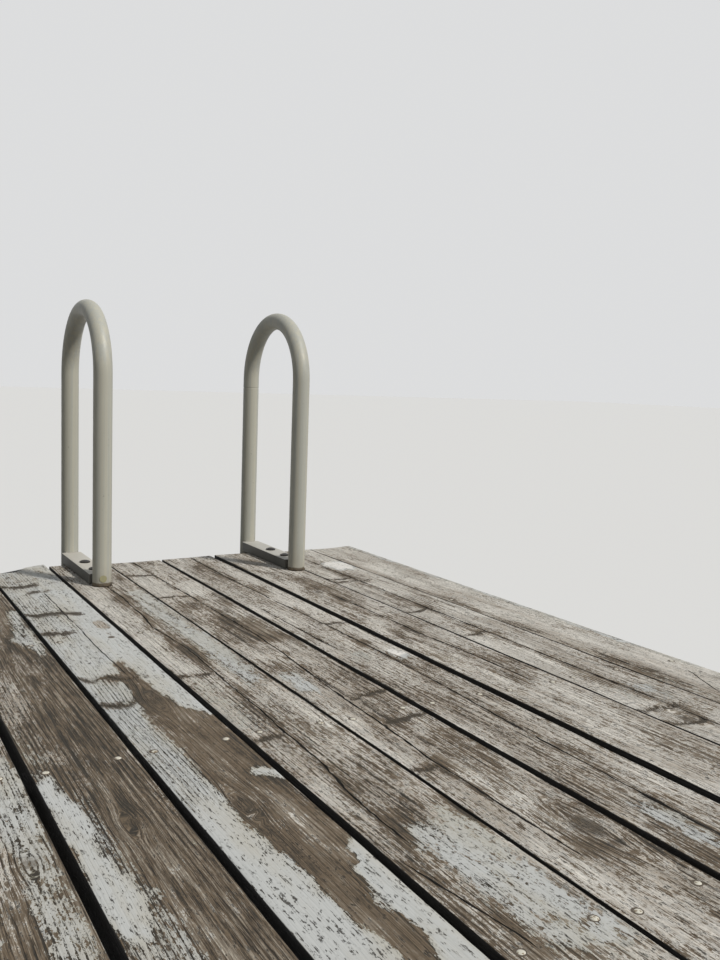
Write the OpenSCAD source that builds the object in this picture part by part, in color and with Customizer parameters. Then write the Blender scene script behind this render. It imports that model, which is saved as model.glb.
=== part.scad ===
// Timber lake jetty: three bays of deck boards on joists, split cap beams and round piles,
// with an aluminium swim ladder near the outer end. Millimetres, X along the jetty towards its
// outer end, Y towards the ladder side, Z up from the feet of the piles.

/* [Deck] */
// Width of a deck board
board_w = 140; // [120:1:160]
// Open joint between two boards
board_gap = 12.4; // [6:0.2:18]
// Thickness of a deck board
board_t = 38; // [32:1:50]
// Length of a deck board, which is the width of the jetty
board_l = 3050; // [2700:10:3400]
// Bevel along the long edges of a deck board
board_bevel = 3; // [1:0.5:6]
// Height of the deck above the feet of the piles
deck_h = 2100; // [2000:10:2800]
// Length of deck over a bay, rounded to whole boards
bay_l = 2440; // [2000:20:3000]

/* [Joists] */
// Thickness of the joists, rims and headers
joist_w = 64; // [45:1:90]
// Height of the joists, rims and headers
joist_h = 235; // [185:5:285]
// Distance from the rim's outer face to the middle of the first joist
joist_first = 699; // [600:1:760]
// Distance from one joist to the next
joist_spacing = 574; // [500:1:620]
// Length of deck board that stands out past the rims and headers
overhang = 5; // [2:1:20]
// Open butt joint between the two lengths of a joist or rim
splice_gap = 3; // [2:1:8]

/* [Piles and caps] */
// Diameter of a pile at its head
pile_d = 280; // [250:5:340]
// Diameter of a pile at its foot
pile_foot_d = 250; // [220:5:280]
// Thickness of wood left between the two notches of a pile head
pile_core = 150; // [110:5:180]
// Distance from the deck's end to the middle of the first piles
bent_in = 300; // [220:5:600]
// Distance from the deck's side to the middle of a pile
pile_in = 450; // [350:5:700]
// Thickness of a cap beam
cap_w = 64; // [45:1:75]
// Height of a cap beam
cap_h = 235; // [185:5:285]
// Distance from the deck's side to the end of a cap beam
cap_in = 75; // [40:5:150]
// Bevel under the end of a cap beam
cap_bevel = 60; // [20:5:100]

/* [Braces] */
// Width of a cross brace
brace_w = 140; // [90:5:185]
// Thickness of a cross brace
brace_t = 38; // [32:1:50]
// Depth of the brace's seat in the foot diameter of a pile
brace_bite = 4; // [2:1:15]
// Height at which a brace crosses its lower pile
brace_low = 350; // [250:10:600]
// Distance from the underside of the caps to a brace's upper crossing
brace_drop = 150; // [140:5:300]
// Length of brace past the middle of a pile
brace_tail = 120; // [100:5:130]

/* [Swim ladder] */
// Outside diameter of the ladder's tube
tube_d = 44.5; // [38:0.1:48]
// Wall of the tube
tube_t = 3.2; // [2:0.1:5]
// Distance between the middles of the two rails
rail_spacing = 522; // [420:1:600]
// Distance from the deck's outer end to the middle of the ladder
ladder_in = 584; // [450:1:1500]
// Height of the hoops above the deck
hoop_h = 689; // [500:1:900]
// Distance between the middles of a hoop's two legs
hoop_depth = 326; // [300:1:360]
// Distance from the deck's side out to the middle of the rear legs
stand_off = 67; // [50:1:85]
// Length of rail below the top of the lowest tread
rail_tail = 130; // [100:5:400]
// Thickness of the cap under a front leg
foot_t = 6; // [3:1:12]
// Thickness of the plug under a rear leg
plug_t = 8; // [4:1:15]
// Depth to which caps and plugs reach into the tube
spigot_h = 20; // [10:1:40]

/* [Ladder base bars] */
// Width of a base bar
bar_w = 50.8; // [49:0.2:60]
// Height of a base bar
bar_h = 25.4; // [20:0.2:40]
// Depth of the hollow in a base bar's end, where it meets a leg
end_cope = 4; // [2:0.5:8]
// Distance from the rim's inner face to the middle of the first bolt
bolt_in = 27; // [20:1:40]
// Distance between the two bolts of a bar
bolt_pitch = 92; // [60:1:100]
// Diameter of a bolt's shank
bolt_d = 9.5; // [8:0.5:12]
// Clearance of the bolt holes on the diameter
bolt_play = 1; // [0.5:0.1:2]
// Diameter of a bolt's domed head
head_d = 26.5; // [22:0.5:30]
// Height of a bolt's domed head
head_h = 6.5; // [4:0.5:9]

/* [Ladder treads] */
// Depth of a tread, from front to back
tread_d = 70; // [56:1:74]
// Height of a tread
tread_h = 32; // [24:1:45]
// Wall of a tread's channel
tread_t = 3.5; // [2.5:0.1:5]
// Height of the grip ribs on a tread
rib_h = 2; // [1:0.1:3]
// Distance from one tread to the next, and from the deck to the first
tread_spacing = 305; // [290:1:330]
// Clearance where a bar, tread or plug fits a tube
weld_gap = 0.15; // [0.1:0.05:0.4]

/* [Hidden] */

bays = 3;
treads = 4;
ribs = 5;
// How far a cut runs past the face that it opens
through = 1;

old_wood = [0.62, 0.58, 0.52];
dark_wood = [0.42, 0.36, 0.30];
wet_wood = [0.30, 0.26, 0.22];
satin_alloy = [0.72, 0.72, 0.69];
dark_steel = [0.25, 0.22, 0.20];
brown_rubber = [0.30, 0.22, 0.16];

// Deck and frame levels
board_pitch = board_w + board_gap;
boards_per_bay = round(bay_l / board_pitch);
deck_l = bays * boards_per_bay * board_pitch - board_gap;
joist_top = deck_h - board_t;
cap_top = joist_top - joist_h;
cap_bottom = cap_top - cap_h;

// The origin lies under the middle of the whole part, ladder included
ladder_reach = stand_off + max(tube_d, tread_d) / 2;
side_y = (board_l - ladder_reach) / 2;
open_y = side_y - board_l;
end_x = deck_l / 2;

function board_x(i) = -end_x + board_w / 2 + i * board_pitch;
function bent_x(k) = -end_x + bent_in + (k - 1) * (deck_l - 2 * bent_in) / bays;
function joist_y(k) = side_y - overhang - joist_first - (k - 1) * joist_spacing;
function tread_z(k) = deck_h - k * tread_spacing;

pile_ladder_y = side_y - pile_in;
pile_open_y = open_y + pile_in;

brace_seat = pile_foot_d / 2 - brace_bite;
brace_high = cap_bottom - brace_drop;
brace_run = pile_ladder_y - pile_open_y;
brace_rise = brace_high - brace_low;
brace_angle = atan(brace_rise / brace_run);
brace_l = norm([brace_run, brace_rise]) + 2 * brace_tail;

// Ladder
ladder_x = end_x - ladder_in;
left_x = ladder_x - rail_spacing / 2;
right_x = ladder_x + rail_spacing / 2;
rear_y = side_y + stand_off;
front_y = rear_y - hoop_depth;
bend_r = hoop_depth / 2;
bend_z = deck_h + hoop_h - tube_d / 2 - bend_r;
rail_foot = tread_z(treads) - rail_tail;
cope_d = tube_d + 2 * weld_gap;
bore_d = tube_d - 2 * tube_t;
hole_d = bolt_d + bolt_play;
bolt_y = side_y - overhang - joist_w - bolt_in;
bolt_ys = [bolt_y - bolt_pitch, bolt_y];
washer_d = 2.6 * bolt_d;
washer_t = 0.25 * bolt_d;
nut_d = 2.1 * bolt_d;
nut_h = 0.85 * bolt_d;
thread_end = 0.5 * bolt_d;

// A plank section with its edges bevelled, from the middle of its underside
module plank_section(w, t, bevel) {
    polygon([
        [-w / 2 + bevel, 0], [w / 2 - bevel, 0], [w / 2, bevel], [w / 2, t - bevel],
        [w / 2 - bevel, t], [-w / 2 + bevel, t], [-w / 2, t - bevel], [-w / 2, bevel]
    ]);
}

// A beam along X between two places, its middle at y
module beam_x(from, to, y, z, w, h) {
    translate([from, y - w / 2, z])
        cube([to - from, w, h]);
}

// The bolt holes through the boards and base bars
module bolt_holes(x) {
    for (y = bolt_ys)
        translate([x, y, joist_top - through])
            cylinder(d = hole_d, h = board_t + bar_h + 2 * through, $fn = 24);
}

module deck_board(i) {
    translate([board_x(i), (side_y + open_y) / 2, joist_top])
        rotate([90, 0, 0])
            linear_extrude(board_l, center = true)
                plank_section(board_w, board_t, board_bevel);
}

// One bay of deck boards, the ones under the ladder drilled for its bolts
module deck_boards(bay) {
    color(old_wood)
        for (i = [(bay - 1) * boards_per_bay : bay * boards_per_bay - 1]) {
            near = min(abs(board_x(i) - left_x), abs(board_x(i) - right_x));
            if (near < (board_w + hole_d) / 2)
                difference() {
                    deck_board(i);
                    bolt_holes(left_x);
                    bolt_holes(right_x);
                }
            else
                deck_board(i);
        }
}

// Two lengths of timber in one line, butted over the piles of one bent
module spliced(from, to, splice, y) {
    beam_x(from, splice - splice_gap / 2, y, cap_top, joist_w, joist_h);
    beam_x(splice + splice_gap / 2, to, y, cap_top, joist_w, joist_h);
}

module rim(y, splice_bent) {
    color(old_wood)
        spliced(-end_x + overhang, end_x - overhang, bent_x(splice_bent), y);
}

module joist(k) {
    inside = end_x - overhang - joist_w;
    color(dark_wood)
        spliced(-inside, inside, bent_x(k % 2 == 0 ? 2 : 3), joist_y(k));
}

// A header closes the joists at one end, between the two rims
module header(x) {
    margin = overhang + joist_w;
    color(old_wood)
        translate([x - joist_w / 2, open_y + margin, cap_top])
            cube([joist_w, board_l - 2 * margin, joist_h]);
}

// A cap beam's side view, bevelled under both ends
module cap_side() {
    half = board_l / 2 - cap_in;
    polygon([
        [-half, cap_h], [-half, cap_bevel], [-half + cap_bevel, 0],
        [half - cap_bevel, 0], [half, cap_bevel], [half, cap_h]
    ]);
}

// The two cap beams of a bent, one in each notch of the pile heads
module cap_beams(k) {
    color(dark_wood)
        for (side = [-1, 1])
            translate([bent_x(k) + side * (pile_core + cap_w) / 2, (side_y + open_y) / 2, cap_bottom])
                rotate([90, 0, 90])
                    linear_extrude(cap_w, center = true)
                        cap_side();
}

// A cross brace on one face of a bent, or with play the seat that it needs in a pile
module brace_bar(k, face, play = 0) {
    translate([bent_x(k) + face * (brace_seat + brace_t / 2), (pile_ladder_y + pile_open_y) / 2,
               (brace_high + brace_low) / 2])
        rotate([face * brace_angle, 0, 0])
            cube([brace_t + play, brace_l + play, brace_w + play], center = true);
}

module brace(k, face) {
    color(wet_wood)
        brace_bar(k, face);
}

// A round pile, thinner at its foot, notched for the caps and seated for the braces
module pile(k, y) {
    notch = pile_d;
    color(wet_wood)
        difference() {
            translate([bent_x(k), y, 0])
                cylinder(d1 = pile_foot_d, d2 = pile_d, h = cap_top, $fn = 64);
            for (side = [-1, 1])
                translate([bent_x(k) + side * (pile_core + notch) / 2, y, cap_bottom + notch])
                    cube([notch, 2 * notch, 2 * notch], center = true);
            for (face = [-1, 1])
                brace_bar(k, face, weld_gap);
        }
}

// The line of a rail as a solid rod: front leg, half turn, and rear leg down to the rail's foot
module rail_rod(d, front_foot, rear_foot) {
    translate([0, front_y, front_foot])
        cylinder(d = d, h = bend_z - front_foot, $fn = 48);
    translate([0, rear_y, rear_foot])
        cylinder(d = d, h = bend_z - rear_foot, $fn = 48);
    translate([0, (front_y + rear_y) / 2, bend_z])
        rotate([90, 0, 90])
            rotate_extrude(angle = 180, $fn = 96)
                translate([bend_r, 0])
                    circle(d = d, $fn = 48);
}

// A rail of bent tube, open at both feet
module ladder_rail(x) {
    color(satin_alloy)
        translate([x, 0, 0])
            difference() {
                rail_rod(tube_d, deck_h + foot_t, rail_foot + plug_t);
                rail_rod(bore_d, deck_h + foot_t - through, rail_foot + plug_t - through);
            }
}

// A flat base bar, hollowed at both ends to the round of the legs and drilled for two bolts
module base_bar(x) {
    leg_clear = tube_d / 2 - end_cope;
    color(satin_alloy)
        difference() {
            translate([x - bar_w / 2, front_y + leg_clear, deck_h])
                cube([bar_w, hoop_depth - 2 * leg_clear, bar_h]);
            for (y = [front_y, rear_y])
                translate([x, y, deck_h - through])
                    cylinder(d = cope_d, h = bar_h + 2 * through, $fn = 48);
            bolt_holes(x);
        }
}

// Half the outline of a domed head, from its crown to its rim
function dome(d, h, steps = 6) = let (r = (d * d / 4 + h * h) / (2 * h), a = asin(d / 2 / r))
    [for (i = [0 : steps]) [r * sin(a * i / steps), h - r + r * cos(a * i / steps)]];

// A coach bolt through bar and board, with washer and nut under the board
module base_bolt() {
    under = -bar_h - board_t;
    rotate_extrude($fn = 36)
        polygon(concat(dome(head_d, head_h), [
            [bolt_d / 2, 0], [bolt_d / 2, under], [washer_d / 2, under], [washer_d / 2, under - washer_t],
            [bolt_d / 2, under - washer_t], [bolt_d / 2, under - washer_t - nut_h - thread_end],
            [0, under - washer_t - nut_h - thread_end]
        ]));
    translate([0, 0, under - washer_t - nut_h])
        cylinder(d = nut_d, h = nut_h, $fn = 6);
}

module base_bolts() {
    color(dark_steel)
        for (x = [left_x, right_x], y = bolt_ys)
            translate([x, y, deck_h + bar_h])
                base_bolt();
}

// A round end piece with a spigot that fits the tube's bore
module tube_end(t) {
    cylinder(d = tube_d, h = t, $fn = 48);
    cylinder(d = bore_d - 2 * weld_gap, h = t + spigot_h, $fn = 48);
}

module foot_caps() {
    color(brown_rubber)
        for (x = [left_x, right_x])
            translate([x, front_y, deck_h])
                tube_end(foot_t);
}

module rail_plugs() {
    color(brown_rubber)
        for (x = [left_x, right_x])
            translate([x, rear_y, rail_foot])
                tube_end(plug_t);
}

// A tread's end view: a channel open below, with lips inwards and grip ribs on its top
module tread_section() {
    rib_step = tread_d / ribs;
    lip = 3 * tread_t;
    difference() {
        translate([-tread_d / 2, -tread_h])
            square([tread_d, tread_h]);
        translate([-tread_d / 2 + tread_t, -tread_h + tread_t])
            square([tread_d - 2 * tread_t, tread_h - 2 * tread_t - rib_h]);
        translate([-tread_d / 2 + lip, -tread_h - through])
            square([tread_d - 2 * lip, tread_t + 2 * through]);
        for (i = [0 : ribs - 1])
            translate([-tread_d / 2 + (i + 0.25) * rib_step, -rib_h])
                square([rib_step / 2, 2 * rib_h]);
    }
}

// A tread between the rails, its ends hollowed to their round
module tread(k) {
    color(satin_alloy)
        difference() {
            translate([ladder_x, rear_y, tread_z(k)])
                rotate([90, 0, 90])
                    linear_extrude(rail_spacing, center = true)
                        tread_section();
            for (x = [left_x, right_x])
                translate([x, rear_y, tread_z(k) - 2 * tread_h])
                    cylinder(d = cope_d, h = 4 * tread_h, $fn = 48);
        }
}

deck_boards(1);  // deck_boards_1
deck_boards(2);  // deck_boards_2
deck_boards(3);  // deck_boards_3
rim(side_y - overhang - joist_w / 2, 2);  // rim_ladder_side
rim(open_y + overhang + joist_w / 2, 3);  // rim_open_side
header(-end_x + overhang + joist_w / 2);  // header_shore
header(end_x - overhang - joist_w / 2);  // header_outer
joist(1);  // joist_1
joist(2);  // joist_2
joist(3);  // joist_3
joist(4);  // joist_4
cap_beams(1);  // cap_beams_1
cap_beams(2);  // cap_beams_2
cap_beams(3);  // cap_beams_3
cap_beams(4);  // cap_beams_4
pile(1, pile_open_y);  // pile_1_open
pile(2, pile_open_y);  // pile_2_open
pile(3, pile_open_y);  // pile_3_open
pile(4, pile_open_y);  // pile_4_open
pile(1, pile_ladder_y);  // pile_1_ladder
pile(2, pile_ladder_y);  // pile_2_ladder
pile(3, pile_ladder_y);  // pile_3_ladder
pile(4, pile_ladder_y);  // pile_4_ladder
brace(1, 1);  // brace_1_out
brace(2, 1);  // brace_2_out
brace(3, 1);  // brace_3_out
brace(4, 1);  // brace_4_out
brace(1, -1);  // brace_1_in
brace(2, -1);  // brace_2_in
brace(3, -1);  // brace_3_in
brace(4, -1);  // brace_4_in
ladder_rail(left_x);  // ladder_rail_left
ladder_rail(right_x);  // ladder_rail_right
base_bar(left_x);  // base_bar_left
base_bar(right_x);  // base_bar_right
base_bolts();
foot_caps();
rail_plugs();
tread(1);  // tread_1
tread(2);  // tread_2
tread(3);  // tread_3
tread(4);  // tread_4
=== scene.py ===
# Timber lake jetty with a swim ladder: the looks of its three bays, built round the fixed frame.
import math
import random

import bmesh
import bpy
from mathutils import Matrix, Vector, noise
from mathutils.bvhtree import BVHTree


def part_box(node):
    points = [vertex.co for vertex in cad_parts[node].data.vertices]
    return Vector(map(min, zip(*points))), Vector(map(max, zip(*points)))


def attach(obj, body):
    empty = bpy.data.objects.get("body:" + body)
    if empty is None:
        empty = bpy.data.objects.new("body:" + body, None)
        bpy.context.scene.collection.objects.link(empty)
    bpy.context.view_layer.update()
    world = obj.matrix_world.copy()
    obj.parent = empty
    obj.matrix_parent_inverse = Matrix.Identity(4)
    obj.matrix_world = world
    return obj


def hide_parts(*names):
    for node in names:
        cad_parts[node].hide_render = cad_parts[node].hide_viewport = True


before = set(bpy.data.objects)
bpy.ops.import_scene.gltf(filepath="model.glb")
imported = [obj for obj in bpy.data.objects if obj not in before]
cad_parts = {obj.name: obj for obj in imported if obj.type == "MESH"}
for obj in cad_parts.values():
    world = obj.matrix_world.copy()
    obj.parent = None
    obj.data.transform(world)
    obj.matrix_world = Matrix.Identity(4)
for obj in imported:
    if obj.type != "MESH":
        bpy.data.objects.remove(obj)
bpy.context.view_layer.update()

# Camera, light and floor
# The view stands on the deck at a crouching person's eye height and looks out past the ladder.
# A broad sun comes from the right and a little behind, and a pale room lights the rest.
deck_low, deck_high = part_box("deck_boards_3")
deck_corner = Vector((deck_high.x, deck_high.y, deck_high.z))
eye_from_corner = Vector((-1.4313, -2.4544, 0.5090))
look_right_deg = 30.61
look_down_deg = 6.06
tilt_deg = 2.00
lens_mm = 34.67
sensor_mm = 36.0

camera_data = bpy.data.cameras.new("camera")
camera_data.sensor_fit = "VERTICAL"
camera_data.sensor_height = sensor_mm
camera_data.sensor_width = sensor_mm
camera_data.lens = lens_mm
camera_data.clip_start = 0.02
camera_data.clip_end = 400
camera = bpy.data.objects.new("camera", camera_data)
camera.matrix_world = (
    Matrix.Translation(deck_corner + eye_from_corner)
    @ Matrix.Rotation(math.radians(-look_right_deg), 4, "Z")
    @ Matrix.Rotation(math.radians(90 - look_down_deg), 4, "X")
    @ Matrix.Rotation(math.radians(tilt_deg), 4, "Z")
)
bpy.context.scene.collection.objects.link(camera)
bpy.context.scene.camera = camera
bpy.context.scene.view_settings.view_transform = "Standard"

sun_height_deg = 46.0
sun_level = 3.2
sun_width_deg = 5.0
light_path = Vector((-0.52, 0.85, 0)).normalized()
sun_drop = math.radians(sun_height_deg)
sun_ray = light_path * math.cos(sun_drop) + Vector((0, 0, -math.sin(sun_drop)))
sun_data = bpy.data.lights.new("sun", "SUN")
sun_data.energy = sun_level
sun_data.angle = math.radians(sun_width_deg)
sun_data.color = (1.0, 0.97, 0.92)
sun = bpy.data.objects.new("sun", sun_data)
sun.matrix_world = sun_ray.to_track_quat("-Z", "Y").to_matrix().to_4x4()
bpy.context.scene.collection.objects.link(sun)


def set_inputs(node, values):
    """Sets or wires the inputs of a shader node."""
    for name, value in values.items():
        value = getattr(value, "socket", value)
        if isinstance(value, bpy.types.NodeSocket):
            node.id_data.links.new(value, node.inputs[name])
        else:
            node.inputs[name].default_value = value


def add_node(tree, kind, values=None, **settings):
    """A shader node with its settings made and its inputs set or wired."""
    node = tree.nodes.new("ShaderNode" + kind)
    for name, value in settings.items():
        setattr(node, name, value)
    set_inputs(node, values or {})
    return node


class Value:
    """What a shader's socket gives. Arithmetic with it adds the nodes that work out the result."""

    def __init__(self, socket):
        self.socket = socket
        self.tree = socket.id_data

    def __add__(self, other):
        return calc("ADD", self, other)

    def __sub__(self, other):
        return calc("SUBTRACT", self, other)

    def __rsub__(self, other):
        return calc("SUBTRACT", other, self)

    def __mul__(self, other):
        return calc("MULTIPLY", self, other)

    def __truediv__(self, other):
        return calc("DIVIDE", self, other)

    def __abs__(self):
        return calc("ABSOLUTE", self)


def result(tree, kind, output, values=None, **settings):
    """One output of a new shader node."""
    return Value(add_node(tree, kind, values, **settings).outputs[output])


def calc(operation, first, second=0.0):
    """One step of arithmetic, where the first or the second is a Value."""
    tree = first.tree if isinstance(first, Value) else second.tree
    return result(tree, "Math", 0, {0: first, 1: second}, operation=operation)


def blend(share, first, second):
    """A colour between two others."""
    return result(share.tree, "Mix", 2, {0: share, 6: first, 7: second}, data_type="RGBA")


def parts(vector):
    """The three numbers of a vector."""
    return [Value(socket) for socket in add_node(vector.tree, "SeparateXYZ", {0: vector}).outputs]


def seen_directly(tree):
    """1 where a surface is looked at, mirrored or seen through glass, 0 where it only lights others."""
    rays = [result(tree, "LightPath", f"Is {kind} Ray") for kind in ("Camera", "Glossy", "Transmission")]
    return calc("MAXIMUM", calc("MAXIMUM", rays[0], rays[1]), rays[2])


# The room's light comes more from above than from the sides, and least from the shore's side
room_colour = (0.82, 0.87, 0.93, 1)
room_side_level = 0.085
room_top_gain = 0.40
room_lean = 0.06
backdrop_colour = (0.72, 0.725, 0.73, 1)
world = bpy.data.worlds.new("room")
world.use_nodes = True
world_tree = world.node_tree
world_tree.nodes.clear()
sky_side, _, sky_height = parts(result(world_tree, "TexCoord", "Generated"))
room_level = calc("MAXIMUM", sky_height) * room_top_gain + (sky_side * room_lean + room_side_level)
room_light = result(world_tree, "Background", 0, {"Color": room_colour, "Strength": room_level})
backdrop = result(world_tree, "Background", 0, {"Color": backdrop_colour, "Strength": 1.0})
both = {0: seen_directly(world_tree), 1: room_light, 2: backdrop}
add_node(world_tree, "OutputWorld", {"Surface": result(world_tree, "MixShader", 0, both)})
bpy.context.scene.world = world


def new_material(name):
    """An empty material and its Principled shader, already wired to the output."""
    material = bpy.data.materials.new(name)
    material.use_nodes = True
    tree = material.node_tree
    tree.nodes.clear()
    shader = add_node(tree, "BsdfPrincipled")
    add_node(tree, "OutputMaterial", {"Surface": shader.outputs[0]})
    return material, tree, shader


def new_piece(name, bm, material, smooth_deg=40):
    """Turns a finished bmesh into an object at the origin."""
    bmesh.ops.recalc_face_normals(bm, faces=bm.faces)
    mesh = bpy.data.meshes.new(name)
    bm.to_mesh(mesh)
    bm.free()
    mesh.shade_smooth()
    mesh.set_sharp_from_angle(angle=math.radians(smooth_deg))
    mesh.materials.append(material)
    piece = bpy.data.objects.new(name, mesh)
    bpy.context.scene.collection.objects.link(piece)
    return piece


floor_reach = 150.0
floor_colour = (0.70, 0.70, 0.695, 1)
floor_bounce = (0.22, 0.22, 0.22, 1)
floor_material, floor_tree, floor_shader = new_material("floor")
floor_look = blend(seen_directly(floor_tree), floor_bounce, floor_colour)
set_inputs(floor_shader, {"Base Color": floor_look, "Roughness": 0.9, "Specular IOR Level": 0.0})
floor_bm = bmesh.new()
bmesh.ops.create_grid(floor_bm, x_segments=1, y_segments=1, size=floor_reach)
new_piece("floor", floor_bm, floor_material)


# Timber
# Every timber is sawn softwood left to the weather: soft bands wash out between hard rings, fibres
# turn silver and split along the grain. Each point of a timber carries its place in the stick
# (across, along, through), so that the grain follows the stick however it is turned.
def shader_group(name, inputs, outputs):
    """A node group with its sockets made: its tree, what it is given, and its output node."""
    tree = bpy.data.node_groups.new(name, "ShaderNodeTree")
    for way, sockets in (("INPUT", inputs), ("OUTPUT", outputs)):
        for label, kind in sockets.items():
            tree.interface.new_socket(label, in_out=way, socket_type="NodeSocket" + kind)
    source = tree.nodes.new("NodeGroupInput")
    given = {label: Value(source.outputs[label]) for label in inputs}
    return tree, given, tree.nodes.new("NodeGroupOutput")


def use_group(tree, group, values):
    """Places a node group in a material and returns what it gives, by name."""
    node = add_node(tree, "Group", values, node_tree=group)
    return {socket.name: Value(socket) for socket in node.outputs}


def floats(*labels):
    """The sockets of a node group that are plain numbers."""
    return dict.fromkeys(labels, "Float")


def attribute(tree, name, output):
    """What each point of a mesh carries under a name."""
    return result(tree, "Attribute", output, attribute_name=name, attribute_type="GEOMETRY")


def vector_calc(operation, first, second=(0, 0, 0)):
    """One step of arithmetic between two vectors."""
    return result(first.tree, "VectorMath", 0, {0: first, 1: second}, operation=operation)


def fade(value, low, high):
    """Rises smoothly from 0 at low to 1 at high, or falls where low is the larger."""
    steps = {"Value": value, "From Min": low, "From Max": high}
    return result(value.tree, "MapRange", 0, steps, interpolation_type="SMOOTHSTEP")


def uneven(place, scale, detail, rough=0.5):
    """Noise from 0 to 1 about a half."""
    values = {"Vector": place, "Scale": scale, "Detail": detail, "Roughness": rough}
    return result(place.tree, "TexNoise", 0, values)


def streaks(place, stretch, detail, rough=0.6):
    """Noise drawn out along the grain."""
    return uneven(vector_calc("MULTIPLY", place, stretch), 1.0, detail, rough)


def bump(relief, strength, distance=0.001):
    """The normal of a surface with fine relief."""
    values = {"Height": relief, "Distance": distance, "Strength": strength}
    return result(relief.tree, "Bump", 0, values)


# Each stick looks at its own part of the noise, found from its seed
seed_spread = (0.4512, 0.5510, 0.4159)
noise_reach = (40, 40, 40)


def make_grain_group():
    """Washed-out valleys between the rings, fibres, flecks, drying checks and broad tone."""
    outputs = floats("Valley", "Ridge", "Fibre", "Strand", "Fleck", "Tone", "Cloud", "Specks", "Checks")
    tree, given, out = shader_group("timber_grain", {"Ring Width": "Float"}, outputs | {"Place": "Vector"})
    at = attribute(tree, "grain_at", "Vector")
    draw = vector_calc("MULTIPLY", attribute(tree, "piece_seed", "Fac"), seed_spread)
    place = vector_calc("ADD", at, vector_calc("MULTIPLY", vector_calc("FRACTION", draw), noise_reach))

    # The distance from the stem's middle, a little uneven, counts the rings
    across, _, through = parts(at)
    round_part = result(tree, "CombineXYZ", 0, {0: across, 2: through})
    reach = result(tree, "VectorMath", 1, {0: round_part}, operation="LENGTH")
    reach += streaks(place, (24, 3.2, 24), 2, 0.5) * 0.010 - 0.005
    off_ring = calc("PINGPONG", reach / given["Ring Width"], 0.5)
    washed = streaks(place, (30, 5, 30), 2, 0.5) * 0.34 + 0.03

    # Broad tone, and splits that open along it
    tone = streaks(place, (17, 5, 17), 3) * 0.6 + streaks(place, (46, 1.6, 46), 2, 0.5) * 0.4
    split = abs(streaks(place, (85, 3.2, 85), 2, 0.5) - 0.5)
    wide = fade(tone, 0.42, 0.6) * -0.009 + 0.012
    set_inputs(out, {
        "Valley": fade(off_ring, washed, washed * 0.35),
        "Ridge": fade(off_ring, 0.28, 0.46),
        "Fibre": fade(streaks(place, (400, 4.5, 400), 2, 0.7), 0.33, 0.67),
        "Strand": fade(streaks(place, (560, 34, 560), 2), 0.32, 0.68),
        "Fleck": fade(streaks(place, (210, 92, 210), 4, 0.75), 0.36, 0.64),
        "Tone": fade(tone, 0.36, 0.64),
        "Cloud": streaks(place, (30, 11, 30), 4, 0.62),
        "Specks": fade(streaks(place, (125, 70, 125), 3), 0.655, 0.715),
        "Checks": fade(split, wide, wide * 0.3),
        "Place": place,
    })
    return tree


timber_grain = make_grain_group()


def start_timber():
    """An empty bmesh with the layers that every timber's points carry."""
    bm = bmesh.new()
    layers = {
        "grain_at": bm.verts.layers.float_vector.new("grain_at"),
        "wear": bm.verts.layers.float_vector.new("wear"),
        "marks": bm.verts.layers.float_vector.new("marks"),
        "seed": bm.verts.layers.float.new("piece_seed"),
        "tear": bm.verts.layers.float.new("tear"),
    }
    return bm, layers


def edges_of(verts):
    """The edges that meet at some vertices, always in the same order."""
    return list(dict.fromkeys(e for v in verts for e in v.link_edges))


def start_rod(bm, columns, rows):
    """A many-sided rod cut into rings, as one list of vertices for each ring."""
    known = len(bm.verts)
    rod = bmesh.ops.create_cone(bm, cap_ends=True, cap_tris=False, segments=columns,
                                radius1=1, radius2=1, depth=1)["verts"]
    sides = [e for e in edges_of(rod) if abs(e.verts[0].co.z - e.verts[1].co.z) > 0.5]
    bmesh.ops.subdivide_edges(bm, edges=sides, cuts=rows - 2)
    bm.verts.ensure_lookup_table()
    rings = [[None] * columns for _ in range(rows)]
    for v in bm.verts[known:]:
        row = round((v.co.z + 0.5) * (rows - 1))
        column = round(math.atan2(v.co.y, v.co.x) / math.tau * columns) % columns
        rings[row][column] = v
    return rings


# The vector noise of mathutils starts anew in every run unless it gets a seed
wander_seed = 1
noise.seed_set(wander_seed)
far_off = 0.2
stick_edge = 0.004
stick_step = 0.09
stick_wave = 0.0012
end_worn = 0.0022
end_reach = 0.004


def wander(*place):
    """A fixed uneven number for a place, between -1 and 1."""
    return noise.noise(Vector(place))


def drift(*place):
    """A fixed uneven vector for a place."""
    return noise.noise_vector(Vector(place))


def end_inset(near_end):
    """How far a stick's outline draws in towards its sawn end, where the edges are worn."""
    return end_worn * max(0.0, 1 - near_end / end_reach) ** 2


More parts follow.
